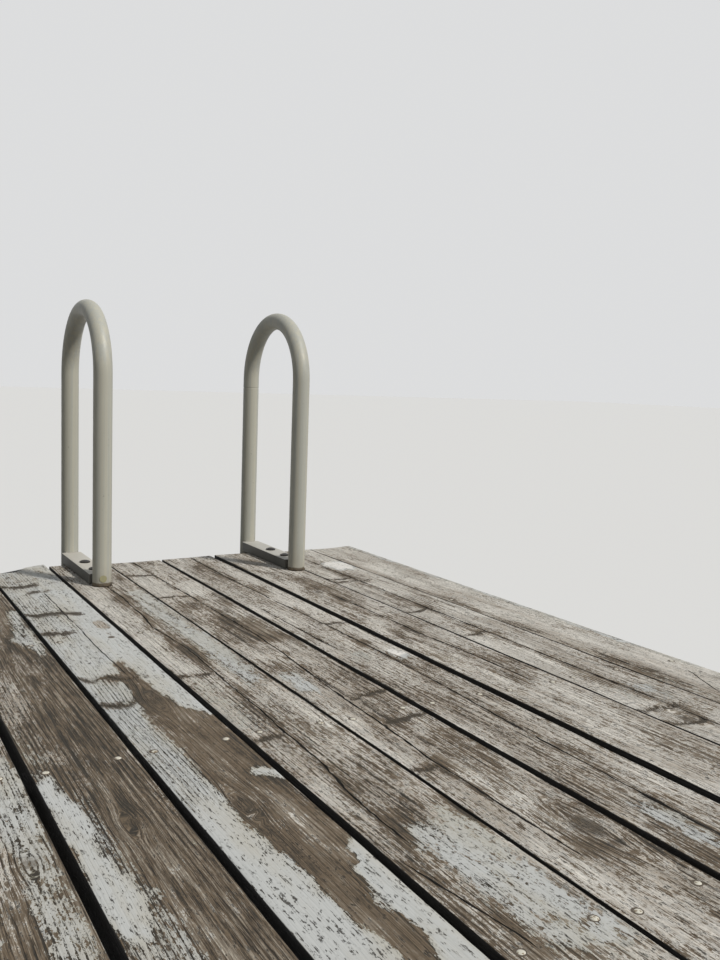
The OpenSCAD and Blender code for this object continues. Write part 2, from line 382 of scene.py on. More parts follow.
def plain_stick(bm, layers, length, width, thickness, place, seed):
    """A sawn stick with worn edges. It lies along Y from 0 to its length, X is its width and Z its
    thickness, both about its middle, until place puts it where it belongs."""
    turns = [math.radians(degrees) for degrees in (5, 45, 85)]
    corner_x, corner_z = width / 2 - stick_edge, thickness / 2 - stick_edge
    corner = [(corner_x + math.sin(a) * stick_edge, corner_z + math.cos(a) * stick_edge) for a in turns]
    right = corner + [(width / 2, 0.0)] + [(x, -z) for x, z in reversed(corner)]
    top = [(share * width * 0.8, thickness / 2) for share in (-0.5, 0.0, 0.5)]
    outline = top + right + [(-x, -z) for x, z in top + right]
    count = max(3, round(length / stick_step))
    stations = [0, 0.0015, 0.004] + [length * i / count for i in range(1, count)]
    stations += [length - 0.004, length - 0.0015, length]
    rings = start_rod(bm, len(outline), len(stations))
    pick = random.Random(seed)
    heart = Vector((pick.uniform(-0.06, 0.06), 0, pick.choice((-1, 1)) * pick.uniform(0.02, 0.11)))
    lean = Vector((pick.uniform(-0.01, 0.01), 0, pick.uniform(-0.015, 0.015)))
    for row, y in enumerate(stations):
        inset = end_inset(min(y, length - y))
        for v, (x, z) in zip(rings[row], outline):
            at = Vector((x, y, z))
            sway = drift(x * 9 + seed * 5.3, y * 3.1, z * 9) * stick_wave
            toward = Vector((-x, 0, -z)).normalized()
            low = at + toward * (inset + stick_wave) + Vector((sway.x, 0, sway.z))
            v[layers["grain_at"]] = at - heart - lean * y
            v[layers["wear"]] = (0.0, 0.3, 0.0)
            v[layers["marks"]] = (0.0, far_off, 0.5)
            v[layers["seed"]] = seed
            v.co = place @ low
    return rings


def stick_place(low, high, along, width_axis):
    """Puts a stick into the box between two corners: along and width_axis are 0, 1 or 2."""
    middle = (Vector(low) + Vector(high)) / 2
    start = middle.copy()
    start[along] = low[along]
    axes = [Vector((0, 0, 0)) for _ in range(3)]
    axes[1][along] = 1
    axes[0][width_axis] = 1
    axes[2] = axes[0].cross(axes[1])
    turn = Matrix((axes[0], axes[1], axes[2])).transposed().to_4x4()
    return Matrix.Translation(start) @ turn


water_line = 1.50


def weathered_material(name, dark, mid, pale, ring_width, wet_colour=None):
    """Bare timber: dark between the fibres, paler along them, and stained below a waterline."""
    material, tree, shader = new_material(name)
    grain = use_group(tree, timber_grain, {"Ring Width": ring_width})
    stain = parts(attribute(tree, "wear", "Vector"))[2]
    crack = parts(attribute(tree, "marks", "Vector"))[0]
    light = grain["Fibre"] * 0.34 + grain["Strand"] * 0.20 + grain["Tone"] * 0.34 + grain["Fleck"] * 0.14
    light += stain * 0.3 - grain["Valley"] * 0.16 + 0.06
    colour = blend(fade(light, 0.12, 0.55), dark, mid)
    colour = blend(fade(light, 0.50, 0.95), colour, pale)
    splits = calc("MAXIMUM", fade(crack, 0.25, 0.7), grain["Checks"])
    colour = blend(splits * 0.85, colour, (0.012, 0.010, 0.008, 1))
    roughness = grain["Fleck"] * 0.08 + 0.84
    if wet_colour:
        height = parts(result(tree, "TexCoord", "Object"))[2]
        level = height + grain["Tone"] * 0.16 + grain["Fibre"] * 0.05 - 0.10 - water_line
        wet = fade(level, 0.05, -0.10)
        colour = blend(wet * 0.85, colour, blend(grain["Fleck"], wet_colour, dark))
        rim = fade(level, 0.16, 0.04) * fade(level, -0.02, 0.05)
        colour = blend(rim * 0.45, colour, pale)
        roughness -= wet * 0.25
    relief = grain["Fibre"] * 0.6 - grain["Valley"] * 0.6 - splits * 1.5
    set_inputs(shader, {"Base Color": colour, "Roughness": roughness, "Normal": bump(relief, 0.9)})
    return material


# Piles
# Eight round softwood piles, two under each cap. They taper to the foot, are notched at the head
# for the caps, split along the grain as they dry, and are dark and slimy below the water's level.
pile_head = 0.280
pile_foot = 0.250
pile_core = 0.150
pile_sides = 44
pile_material = weathered_material(
    "pile_timber", dark=(0.030, 0.024, 0.018, 1), mid=(0.115, 0.092, 0.068, 1), pale=(0.30, 0.27, 0.225, 1),
    ring_width=0.006, wet_colour=(0.030, 0.034, 0.020, 1))
bent_names = ["1", "2", "3", "4"]


def settle(piece, node=None):
    """Ties a piece to the jetty, and hides the solid that it stands for."""
    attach(piece, "root")
    if node:
        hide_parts(node)


def lay_pile(name, seed):
    """A pile as a rod whose rings follow the taper, with the head squeezed flat for the caps."""
    low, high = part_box(name)
    middle = (low + high) / 2
    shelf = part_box("cap_beams_" + name.split("_")[1])[0].z
    bm, layers = start_timber()
    levels = [0, 0.004, 0.012] + [0.04 + 0.035 * i for i in range(int((shelf - 0.06) / 0.035))]
    levels += [shelf - 0.003, shelf, shelf + 0.0002, shelf + 0.003]
    levels += [shelf + 0.02 + 0.03 * i for i in range(int((high.z - shelf - 0.03) / 0.03))]
    levels += [high.z - 0.004, high.z - 0.001, high.z]
    rings = start_rod(bm, pile_sides, len(levels))
    pick = random.Random(seed)
    splits = [(pick.uniform(0, math.tau), pick.uniform(0.2, 1.2), pick.uniform(0.5, 1.1)) for _ in range(5)]
    for row, z in enumerate(levels):
        radius = (pile_foot + (pile_head - pile_foot) * z / high.z) / 2
        top_gap, foot_gap = high.z - z, z
        inset = 0.004 * max(0, 1 - top_gap / 0.004) + 0.005 * max(0, 1 - foot_gap / 0.012)
        for column, v in enumerate(rings[row]):
            turn = column / pile_sides * math.tau
            ripple = wander(math.cos(turn) * 2.2, math.sin(turn) * 2.2, z * 1.1 + seed * 7)
            knobble = wander(math.cos(turn) * 6, math.sin(turn) * 6, z * 4 + seed * 3)
            open_split = 0.0
            for start, split_low, split_long in splits:
                line = start + 0.12 * wander(z * 2.3, start, seed)
                off = abs((turn - line + math.pi) % math.tau - math.pi)
                along = min(z - split_low, split_low + split_long - z) / 0.15
                open_split = max(open_split, max(0, 1 - off / 0.075) * min(1, max(0, along)))
            r = radius - 0.0035 - inset + 0.002 * ripple + 0.0012 * knobble - 0.012 * open_split
            x, y = math.cos(turn) * r, math.sin(turn) * r
            if z > shelf + 1e-4:
                x = max(-pile_core / 2, min(pile_core / 2, x))
            v[layers["grain_at"]] = (x, z, y)
            v[layers["wear"]] = (0.0, 0.2, -0.1 + 0.3 * ripple)
            v[layers["marks"]] = (open_split, far_off, 0.5)
            v[layers["seed"]] = seed
            v.co = (middle.x + x, middle.y + y, z)
    settle(new_piece(name.replace("pile", "round_pile"), bm, pile_material, 50), name)


for bent in bent_names:
    lay_pile(f"pile_{bent}_open", 11 + int(bent))
    lay_pile(f"pile_{bent}_ladder", 21 + int(bent))


# Cap beams
# A pair of sawn beams across each pair of piles, one in each notch of the heads, with their lower
# corners cut off at the ends. They are bolted through the pile heads.
cap_cut = 0.060
frame_material = weathered_material(
    "frame_timber", dark=(0.034, 0.026, 0.018, 1), mid=(0.150, 0.118, 0.086, 1), pale=(0.34, 0.30, 0.25, 1),
    ring_width=0.007)


def only(kind, geometry):
    """The vertices, or the edges, among the pieces of geometry that a bmesh operator gives back."""
    return [g for g in geometry if isinstance(g, kind)]


def cut_corners(bm, low, high):
    """Slices the lower corner off both ends of the beams across Y, on one sloping plane each."""
    for y, out in ((low.y, -1), (high.y, 1)):
        through = Vector((0, y - out * cap_cut, low.z))
        slope = Vector((0, out, -1)).normalized()
        parts = bm.verts[:] + bm.edges[:] + bm.faces[:]
        cut = bmesh.ops.bisect_plane(bm, geom=parts, plane_co=through, plane_no=slope, clear_outer=True)
        bmesh.ops.holes_fill(bm, edges=only(bmesh.types.BMEdge, cut["geom_cut"]))


for bent in bent_names:
    low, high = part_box("cap_beams_" + bent)
    thickness = (high.x - low.x - pile_core) / 2
    bm, layers = start_timber()
    for index, x in enumerate((low.x, high.x - thickness)):
        corner_low = Vector((x, low.y, low.z))
        corner_high = Vector((x + thickness, high.y, high.z))
        place = stick_place(corner_low, corner_high, 1, 2)
        plain_stick(bm, layers, high.y - low.y, high.z - low.z, thickness, place, 31 + 2 * int(bent) + index)
    cut_corners(bm, low, high)
    settle(new_piece("caps_" + bent, bm, frame_material), "cap_beams_" + bent)


# Cross braces
# One plank on each face of a bent, from one pile's foot to the other's head, let into the round of
# the piles and bolted to them.
brace_width = 0.140
brace_low = 0.350
brace_drop = 0.150
brace_tail = 0.120
brace_material = weathered_material(
    "brace_timber", dark=(0.030, 0.024, 0.017, 1), mid=(0.130, 0.105, 0.078, 1), pale=(0.31, 0.275, 0.23, 1),
    ring_width=0.006, wet_colour=(0.032, 0.036, 0.022, 1))
brace_ends = {}
for bent in bent_names:
    open_pile, ladder_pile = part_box(f"pile_{bent}_open"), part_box(f"pile_{bent}_ladder")
    open_y = (open_pile[0].y + open_pile[1].y) / 2
    ladder_y = (ladder_pile[0].y + ladder_pile[1].y) / 2
    high_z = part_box("cap_beams_" + bent)[0].z - brace_drop
    for face, turn in (("out", 1), ("in", -1)):
        name = f"brace_{bent}_{face}"
        low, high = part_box(name)
        x = (low.x + high.x) / 2
        start_z, end_z = (brace_low, high_z) if turn > 0 else (high_z, brace_low)
        start, end = Vector((x, open_y, start_z)), Vector((x, ladder_y, end_z))
        line = (end - start).normalized()
        brace_ends[name] = (start, end)
        width_way = Vector((1, 0, 0)).cross(line)
        turn_matrix = Matrix((width_way, line, width_way.cross(line))).transposed().to_4x4()
        place = Matrix.Translation(start - line * brace_tail) @ turn_matrix
        bm, layers = start_timber()
        length = (end - start).length + 2 * brace_tail
        plain_stick(bm, layers, length, brace_width, high.x - low.x, place, 45 + 2 * int(bent) + turn)
        settle(new_piece(f"cross_{name}", bm, brace_material), name)


# Joists, headers and rims
# Planks on edge over the caps. The inner joists are dark and dry, each in two lengths butted over a
# bent. The rims and headers close the frame and were painted with the deck, now mostly worn.
splice_gap = 0.003
rim_material = weathered_material(
    "rim_timber", dark=(0.050, 0.040, 0.030, 1), mid=(0.215, 0.185, 0.150, 1), pale=(0.43, 0.41, 0.37, 1),
    ring_width=0.007)


def lay_joist(node, splice_bent, material, seed):
    """A joist's two lengths, butted over the middle of the bent that carries the joint."""
    low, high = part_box(node)
    bent_low, bent_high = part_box("cap_beams_" + splice_bent)
    joint = (bent_low.x + bent_high.x) / 2
    bm, layers = start_timber()
    for index, (start, end) in enumerate(((low.x, joint - splice_gap / 2), (joint + splice_gap / 2, high.x))):
        place = stick_place((start, low.y, low.z), (end, high.y, high.z), 0, 2)
        plain_stick(bm, layers, end - start, high.z - low.z, high.y - low.y, place, seed + index)
    name = node.replace("joist", "floor_joist").replace("rim", "rim_joist")
    settle(new_piece(name, bm, material), node)


joist_names = ("joist_1", "joist_2", "joist_3", "joist_4")
for index, node in enumerate(joist_names):
    lay_joist(node, "3" if index % 2 == 0 else "2", frame_material, 61 + 2 * index)
lay_joist("rim_ladder_side", "2", rim_material, 69)
lay_joist("rim_open_side", "3", rim_material, 71)
for index, node in enumerate(("header_shore", "header_outer")):
    low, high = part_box(node)
    bm, layers = start_timber()
    place = stick_place(low, high, 1, 2)
    plain_stick(bm, layers, high.y - low.y, high.z - low.z, high.x - low.x, place, 73 + index)
    settle(new_piece("end_" + node, bm, rim_material), node)


# Deck boards
# Forty-eight sawn boards across the joists, painted a pale blue-grey long ago. The paint lies in
# sheets on some boards, clings in flecks to others and is gone from the most trodden. The boards
# have split along the grain, and torn across it where they are weak.
board_thickness = deck_high.z - deck_low.z
board_length = deck_high.y - deck_low.y
boards_per_bay = 16
joint_width = 0.0124
board_pitch = (deck_high.x - deck_low.x + joint_width) / boards_per_bay

# The outer eight joints as they stand: distance from the outer end, width at the ladder's side and
# width two metres in
outer_joints = [
    (0.1486, 0.0042, 0.0050), (0.3023, 0.0046, 0.0062), (0.4570, 0.0112, 0.0128), (0.6136, 0.0055, 0.0104),
    (0.7640, 0.0040, 0.0074), (0.9150, 0.0046, 0.0090), (1.0675, 0.0050, 0.0100), (1.2130, 0.0080, 0.0125)]

# The outer boards, in millimetres from the outer corner on the ladder's side, both ways running back
# to negative. "wear" is how much paint and pale residue, the tone and how smooth it is all over.
# "heart" is where the middle of the stem lay: sideways, its depth, and how that changes in a metre.
# Splits run along a board as (y, x) points and tears across it as (x, y) points, knots are
# (x, y, radius), and bands of other wear are ({what: amount}, [(y, from x, to x), ...]).
seen_boards = {
    1: {
        "wear": (0.3, 1.08, 0.34, 0.72), "heart": (-100, 90, 4),
        "end": [(-147, 4), (-100, 6), (0, 24)],
        "splits": [[(-1180, -120), (-1305, -121)], [(-1333, -43), (-1390, -72), (-1438, -95.5)]],
        "bands": [
            ({"residue": 0.52, "tone": -0.25}, [(20, -147, -130), (-700, -147, -120),
                (-1300, -147, -105), (-3050, -147, -110)]),
            ({"paint": 0.8}, [(20, -14, 0), (-3050, -10, 0)]),
        ],
        "knots": [(-35, -420, 4), (-60, -800, 4)],
    },
    2: {
        "wear": (0.18, 0.98, 0.42, 0.42), "heart": (70, 50, 4),
        "end": [(-300, 2), (-150, 0)],
        "splits": [[(-120, -231), (-600, -228), (-1200, -228), (-1900, -229)]],
        "breaks": [[(-300, -392), (-262, -408), (-229, -400)], [(-300, -436), (-250, -430),
            (-200, -440)], [(-300, -770), (-272, -768), (-245, -752), (-229, -752)], [(-300, -968),
            (-262, -972), (-231, -958)], [(-300, -1447), (-260, -1455), (-215, -1448)], [(-300, -1500),
            (-262, -1525), (-222, -1512)]],
        "bands": [
            ({"paint": 1.0, "tone": 1.35}, [(-198, -222, -153), (-306, -222, -153)]),
            ({"residue": 0.55}, [(-300, -250, -222), (-1500, -250, -222)]),
            ({"residue": 0.45}, [(-1460, -300, -200), (-1540, -300, -210)]),
            ({"paint": 0.5}, [(-1330, -290, -180), (-1420, -290, -180)]),
        ],
        "knots": [(-255, -1510, 12)],
    },
    3: {
        "wear": (0.06, 0.74, 0.22, 0.42), "heart": (-40, 80, 10),
        "end": [(-450, 12), (-380, 10), (-300, 0)],
        "splits": [[(-550, -372), (-900, -369), (-1110, -362), (-1240, -360)]],
        "bands": [
            ({"residue": 0.95}, [(-600, -440, -400), (-800, -440, -400)]),
            ({"residue": 0.5}, [(-350, -420, -310), (-620, -420, -310)]),
            ({"residue": 0.85}, [(-660, -350, -306), (-1000, -345, -306)]),
            ({"residue": 0.85}, [(0, -450, -390), (-300, -450, -400)]),
            ({"residue": 0.72}, [(-840, -450, -400), (-1500, -450, -395)]),
            ({"tone": -0.3}, [(-900, -385, -350), (-1250, -380, -340)]),
        ],
        "knots": [(-390, -519, 8), (-330, -1158, 5)],
    },
    4: {
        "wear": (0.08, 0.76, 0.22, 0.38), "heart": (30, 60, -12),
        "end": [(-607, 2), (-530, 6), (-470, 16)],
        "splits": [[(10, -526), (-100, -527), (-300, -531), (-550, -524), (-780, -515), (-1050, -513),
            (-1350, -523), (-1620, -531), (-1950, -534)], [(-600, -585), (-950, -580)]],
        "breaks": [[(-515, -775), (-490, -785), (-466, -778)]],
        "bands": [
            ({"residue": 0.98}, [(-100, -510, -466), (-400, -515, -466)]),
            ({"residue": 0.45, "tone": 0.05}, [(-100, -600, -515), (-320, -590, -515)]),
            ({"paint": 0.92, "tone": 1.25}, [(-997, -515.5, -475), (-1067, -510, -470)]),
            ({"paint": 0.6}, [(-990, -582, -545), (-1060, -578, -540)]),
            ({"paint": 0.74}, [(-1662, -566, -545), (-1730, -575, -525), (-1810, -560, -530)]),
            ({"residue": 0.66, "tone": 0.0}, [(-1050, -606, -466), (-1600, -606, -466)]),
        ],
        "knots": [(-528, -162, 8)],
    },
    5: {
        "wear": (0.1, 0.78, 0.16, 0.45), "heart": (-20, 70, 15), "split_share": 0.8,
        "end": [(-760, 4), (-620, 4)],
        "splits": [[(10, -695), (-140, -693), (-450, -684), (-800, -679), (-930, -684), (-1200, -702),
            (-1380, -708.5), (-1450, -714.5), (-1530, -713), (-1620, -715.5), (-1746, -712)]],
        "breaks": [[(-758, -172), (-720, -185), (-692, -180)], [(-758, -428), (-720, -425),
            (-688, -436)], [(-692, -1205), (-660, -1196), (-622, -1185)], [(-700, -1318), (-660, -1312),
            (-625, -1306)], [(-758, -1478), (-735, -1486), (-720, -1482)]],
        "bands": [
            ({"residue": 0.36}, [(-480, -758, -625), (-860, -758, -625)]),
            ({"tone": -0.15}, [(-640, -750, -670), (-840, -750, -670)]),
            ({"paint": 0.72, "tone": 0.5}, [(-1030, -757.5, -715), (-1100, -758, -706),
                (-1150, -750, -718)]),
            ({"residue": 0.85}, [(-860, -758, -640), (-1020, -758, -640)]),
            ({"residue": 0.38, "tone": -0.26}, [(-1640, -708.5, -615), (-1800, -708.5, -615)]),
            ({"residue": 0.92}, [(-20, -758, -630), (-420, -758, -630)]),
            ({"residue": 0.5}, [(-1200, -690, -622), (-1620, -695, -622)]),
        ],
        "knots": [(-658, -1700, 16), (-700, -500, 6)],
    },
    6: {
        "wear": (0.22, 0.72, 0.16, 0.45), "heart": (50, 60, -10), "split_share": 0.76,
        "end": [(-910, 12), (-800, 10), (-768, 4)],
        "splits": [[(-270, -838), (-400, -836), (-560, -841), (-660, -852), (-750, -845), (-840, -840),
            (-950, -842), (-1060, -846.5), (-1180, -849), (-1300, -855), (-1410, -857.6),
            (-1515, -869.5), (-1641, -873)], [(-1676, -901), (-1858, -873)]],
        "breaks": [[(-910, -990), (-880, -1000), (-852, -995)], [(-910, -1300), (-885, -1305),
            (-862, -1290)]],
        "bands": [
            ({"paint": 0.74}, [(-330, -818, -770), (-600, -834, -770), (-850, -828, -772),
                (-1080, -820, -772)]),
            ({"residue": 1.0, "tone": 0.4}, [(-330, -915, -862), (-960, -915, -862)]),
            ({"residue": 0.22, "tone": -0.08}, [(-360, -852, -824), (-1000, -856, -828)]),
            ({"paint": 0.0}, [(-300, -850, -822), (-1050, -856, -826)]),
            ({"residue": 0.44}, [(-1460, -880, -765), (-1600, -870, -765)]),
            ({"paint": 0.0}, [(-1480, -866, -768), (-1585, -866, -768)]),
            ({"tone": -0.2}, [(-1460, -870, -765), (-1610, -850, -765)]),
            ({"paint": 0.66, "smooth": 0.8}, [(-1600, -868, -772), (-1900, -868, -772)]),
            ({"paint": 0.46}, [(-1020, -910, -862), (-1280, -910, -866)]),
        ],
        "knots": [(-888, -470, 5)],
    },
    7: {
        "wear": (0.92, 0.8, 0.05, 0.05), "heart": (85, 45, 0), "tear_width": 21, "split_share": 0.42,
        "end": [(-1062.5, -30), (-1000, -24), (-975, 22), (-925, 52)],
        "splits": [[(-270, -985), (-600, -986), (-930, -984)]],
        "breaks": [[(-1062, -470), (-1045, -492), (-1020, -480), (-990, -488), (-955, -505)],
            [(-1062, -632), (-1030, -646), (-1004, -640)], [(-1062, -928), (-1045, -958), (-1020, -938),
            (-1000, -952), (-965, -962)], [(-1062, -1072), (-1040, -1082), (-1012, -1075)],
            [(-1062, -190), (-1020, -200), (-985, -196)], [(-1015, -268), (-990, -275), (-968, -262)]],
        "bands": [
            ({"smooth": 1.0}, [(50, -985, -918), (-3050, -985, -918)]),
            ({"smooth": 1.0}, [(-1460, -1064, -918), (-3050, -1064, -918)]),
            ({"paint": 0.68}, [(50, -1064, -918), (-260, -1064, -918)]),
            ({"tone": -0.22}, [(-100, -1064, -985), (-740, -1064, -985)]),
            ({"smooth": 0.5}, [(50, -1064, -985), (-960, -1064, -985)]),
            ({"paint": 0.74}, [(-300, -1064, -985), (-700, -1064, -985)]),
            ({"paint": 0.3}, [(-570, -949, -922), (-642, -945, -925)]),
            ({"paint": 0.0}, [(-840, -989, -976), (-905, -991, -972), (-935, -1030, -964),
                (-976, -1030, -958)]),
            ({"paint": 0.8}, [(-1460, -956, -918), (-1620, -956, -918)]),
            ({"paint": 0.0}, [(-890, -990, -974), (-950, -1000, -962), (-1130, -1003, -948),
                (-1200, -1012, -910), (-1592, -1006, -910), (-1650, -999, -955), (-1900, -992, -958),
                (-2300, -1000, -950)]),
            ({"paint": 1.0}, [(-1376, -953.5, -922), (-1405, -949, -915), (-1425, -935, -915)]),
            ({"smooth": 0.85}, [(-860, -1010, -920), (-2300, -1010, -920)]),
            ({"residue": 0.0, "tone": -0.14}, [(-860, -1020, -910), (-2300, -1020, -910)]),
        ],
        "knots": [(-981.5, -1081, 13), (-995.5, -1469.5, 10)],
    },
    8: {
        "wear": (0.02, 0.06, -0.2, 0.3), "heart": (12, 34, 16), "fineness": 1.3,
        "end": [(-1207, -10), (-1070, -12)],
        "splits": [],
        "bands": [
            ({"paint": 1.0, "smooth": 1.0}, [(-1305, -1204, -1180), (-1500, -1206, -1175),
                (-1690, -1207, -1172)]),
            ({"paint": 0.55}, [(-1690, -1207, -1160), (-2200, -1207, -1150)]),
            ({"paint": 0.52}, [(-1360, -1180, -1166), (-1550, -1175, -1148), (-1800, -1172, -1142)]),
            ({"paint": 0.35}, [(-1000, -1206, -1178), (-1300, -1206, -1178)]),
            ({"paint": 0.66}, [(-420, -1098, -1073), (-660, -1116, -1073), (-780, -1092, -1073)]),
            ({"smooth": 0.6}, [(-420, -1115, -1073), (-800, -1105, -1073)]),
            ({"residue": 0.66}, [(-800, -1207, -1165), (-1400, -1207, -1180)]),
            ({"tone": 0.25}, [(-1450, -1160, -1075), (-2200, -1160, -1075)]),
        ],
        "knots": [(-1130, -1460, 8)],
    },
    9: {
        "wear": (0.15, 0.22, 0.0, 0.55), "heart": (-50, 50, 12), "split_share": 0.5,
        "end": [(-1360, -6), (-1220, -4)],
        "splits": [[(-1660, -1305), (-1740, -1312)]],
        "bands": [
            ({"paint": 0.84}, [(-1350, -1359, -1315), (-1580, -1359, -1300), (-1800, -1359, -1318)]),
            ({"paint": 0.7}, [(-1200, -1270, -1215), (-1550, -1262, -1222), (-1800, -1262, -1232)]),
            ({"residue": 0.6}, [(-900, -1359, -1215), (-1400, -1359, -1215)]),
        ],
        "knots": [(-1250, -1500, 8)],
    },
}
lengths_in_look = ("heart", "end", "splits", "breaks", "knots", "tear_width")


def in_metres(sizes):
    """Turns millimetres into metres, however deep the lists go."""
    return sizes / 1000 if isinstance(sizes, (int, float)) else [in_metres(size) for size in sizes]


for look in seen_boards.values():
    look.update({key: in_metres(look[key]) for key in lengths_in_look if key in look})
    look["bands"] = [(changes, in_metres(points)) for changes, points in look["bands"]]

wear_channels = {"paint": 0, "residue": 1, "tone": 2, "smooth": 3}
ladder_boards = (3, 6)


def between(points, value):
    """Reads a line of (value, result, ...) points, given in falling or rising order."""
    if (value - points[0][0]) * (points[-1][0] - points[0][0]) <= 0:
        return points[0][1:]
    for first, last in zip(points, points[1:]):
        if (value - first[0]) * (value - last[0]) <= 0:
            share = (value - first[0]) / (last[0] - first[0])
            return [a + (b - a) * share for a, b in zip(first[1:], last[1:])]
    return points[-1][1:]


crisp_border = (0.012, 0.022)
soft_border = (0.024, 0.050)


def in_band(points, x, y, border):
    """How far a place lies inside a band of wear, from 0 to 1, with a border so wide across and along."""
    soft_across, soft_along = border
    along = min(points[0][0] - y, y - points[-1][0]) / soft_along + 0.5
    if along <= 0:
        return 0.0
    left, right = between(points, y)
    across = min(x - left, right - x) / soft_across + 0.5
    return max(0.0, min(1.0, across)) * min(1.0, along)


def board_edges(number, y=-1.0):
    """The two long edges of a board at one place along it."""
    right = -(number - 1) * board_pitch
    left = right - board_pitch + joint_width
    inward = min(1.0, max(0.0, -y / 2.0))
    if number <= len(outer_joints):
        away, narrow, wide = outer_joints[number - 1]
        left = -away + (narrow + (wide - narrow) * inward) / 2
    if 1 < number <= len(outer_joints) + 1:
        away, narrow, wide = outer_joints[number - 2]
        right = -away - (narrow + (wide - narrow) * inward) / 2
    return left, right


def usual_board(number, pick):
    """A board that the view doesn't show closely, drawn from the same kinds of wear."""
    paint, residue, tone, smooth = pick.choice((
        (0.80, 0.80, 0.05, 0.2), (0.60, 0.80, 0.10, 0.7), (0.30, 0.70, 0.05, 0.5), (0.15, 0.62, 0.0, 0.5),
        (0.12, 0.55, -0.05, 0.3), (0.05, 0.35, -0.15, 0.1)))
    wear = (paint + pick.uniform(-0.08, 0.08), residue + pick.uniform(-0.1, 0.1),
            tone + pick.uniform(-0.1, 0.1), smooth)
    left, right = board_edges(number)
    splits, breaks, bands, knots = [], [], [], []
    for x in pick.choice(((-0.025,), (0.02,), (-0.03, 0.025))):
        start, run = pick.uniform(-2.2, 0.1), pick.uniform(0.5, 2.4)
        line = [(start - run * i / 6, (left + right) / 2 + x + pick.uniform(-0.008, 0.008)) for i in range(7)]
        splits.append(line)
    for _ in range(pick.randint(2, 5)):
        y, run = pick.uniform(-2.9, 0), pick.uniform(0.08, 0.6)
        x, wide = pick.uniform(left, right), pick.uniform(0.03, 0.10)
        what, amount = pick.choice((
            ("paint", 0.0), ("paint", 0.9), ("residue", 0.2), ("residue", 0.9), ("tone", -0.4)))
        near, far = x - wide / 2, x + wide / 2
        bands.append(({what: amount}, [(y, near, far), (y - run, near, far)]))
    for _ in range(pick.randint(0, 3)):
        x = pick.uniform(left + 0.02, right - 0.02)
        knots.append((x, pick.uniform(-2.9, -0.1), pick.uniform(0.005, 0.012)))
    for _ in range(pick.randint(0, 3)):
        y, reach = pick.uniform(-2.8, -0.1), pick.uniform(0.04, 0.08)
        x = pick.choice((left, right - reach))
        breaks.append([(x, y), (x + reach * 0.5, y - pick.uniform(-0.015, 0.015)), (x + reach, y)])
    heart = (pick.uniform(-0.09, 0.09), pick.uniform(0.03, 0.10), pick.uniform(-0.03, 0.03))
    end = [(left, pick.uniform(-0.006, 0.004)), (right, pick.uniform(-0.006, 0.004))]
    return {"wear": wear, "heart": heart, "end": end,
            "splits": splits, "bands": bands, "knots": knots, "breaks": breaks}


top_columns = 19
split_columns = (6, 12)
split_lip = 0.0019
split_depth = 0.005
tear_depth = 0.0022
tear_reach = 0.07
under_edge = 0.003


def board_stations(breaks, fine):
    """Where a board's rings lie along it, closer in view and closer still at ends and tears."""
    stations, y = [], -0.010
    while y > -board_length + 0.012:
        stations.append(y)
        y -= 0.010 if fine and y > -2.15 else 0.032
    rows = []
    for points in breaks:
        middle = sum(y for _, y in points) / len(points)
        stations = [s for s in stations if abs(s - middle) > 0.012]
        stations += [middle + s for s in (0.010, 0.005, 0.0015, -0.0015, -0.005, -0.010)]
        rows.append(middle)
    stations = [0.0, -0.0010, -0.0030, -0.0060] + sorted(stations, reverse=True)
    stations += [-board_length + s for s in (0.006, 0.003, 0.001, 0.0)]
    return stations, rows


def choose_lanes(splits, left, right):
    """Gives each of the two split columns its split, or a place of its own where it has none."""
    lanes = sorted(splits, key=lambda points: points[0][1])[:2]
    usual = [left + (right - left) * 0.34, left + (right - left) * 0.67]
    if len(lanes) == 2:
        return lanes, usual
    if not lanes:
        return [None, None], usual
    middle = sum(x for _, x in lanes[0]) / len(lanes[0])
    if middle < (left + right) / 2:
        return [lanes[0], None], [usual[0], (middle + right) / 2]
    return [None, lanes[0]], [(left + middle) / 2, usual[1]]


def board_wear(look, x, y, seed, near_split, near_tear):
    """Paint, residue, tone and smoothness at one place on a board."""
    sway = drift(x * 30, y * 13, seed * 3.1) + 0.6 * drift(x * 75, y * 34, seed * 3.1 + 9)
    levels = list(look["wear"])
    for changes, points in look["bands"]:
        for what, amount in changes.items():
            channel = wear_channels[what]
            reach, border = (0.011, crisp_border) if what in ("paint", "smooth") else (0.017, soft_border)
            share = in_band(points, x + sway.x * reach, y + sway.y * reach * 2.4, border)
            levels[channel] += (amount - levels[channel]) * share
    vary = drift(x * 15, y * 6.0, seed * 1.7 + 20) + 0.5 * drift(x * 34, y * 17, seed * 1.7 + 30)
    levels[0] += 0.16 * vary.x * (1 - abs(levels[0] - 0.5))
    levels[1] += 0.52 * vary.y
    levels[2] += 0.46 * vary.z
    hurt = max(math.exp(-(near_split / 0.015) ** 2), math.exp(-(near_tear / 0.015) ** 2))
    hurt *= max(0.0, 0.70 + 1.1 * wander(x * 28, y * 15, seed + 5))
    levels[0] -= 0.40 * hurt * (1 - 0.5 * levels[3])
    levels[1] -= 0.50 * hurt
    levels[2] -= 0.35 * hurt
    return levels


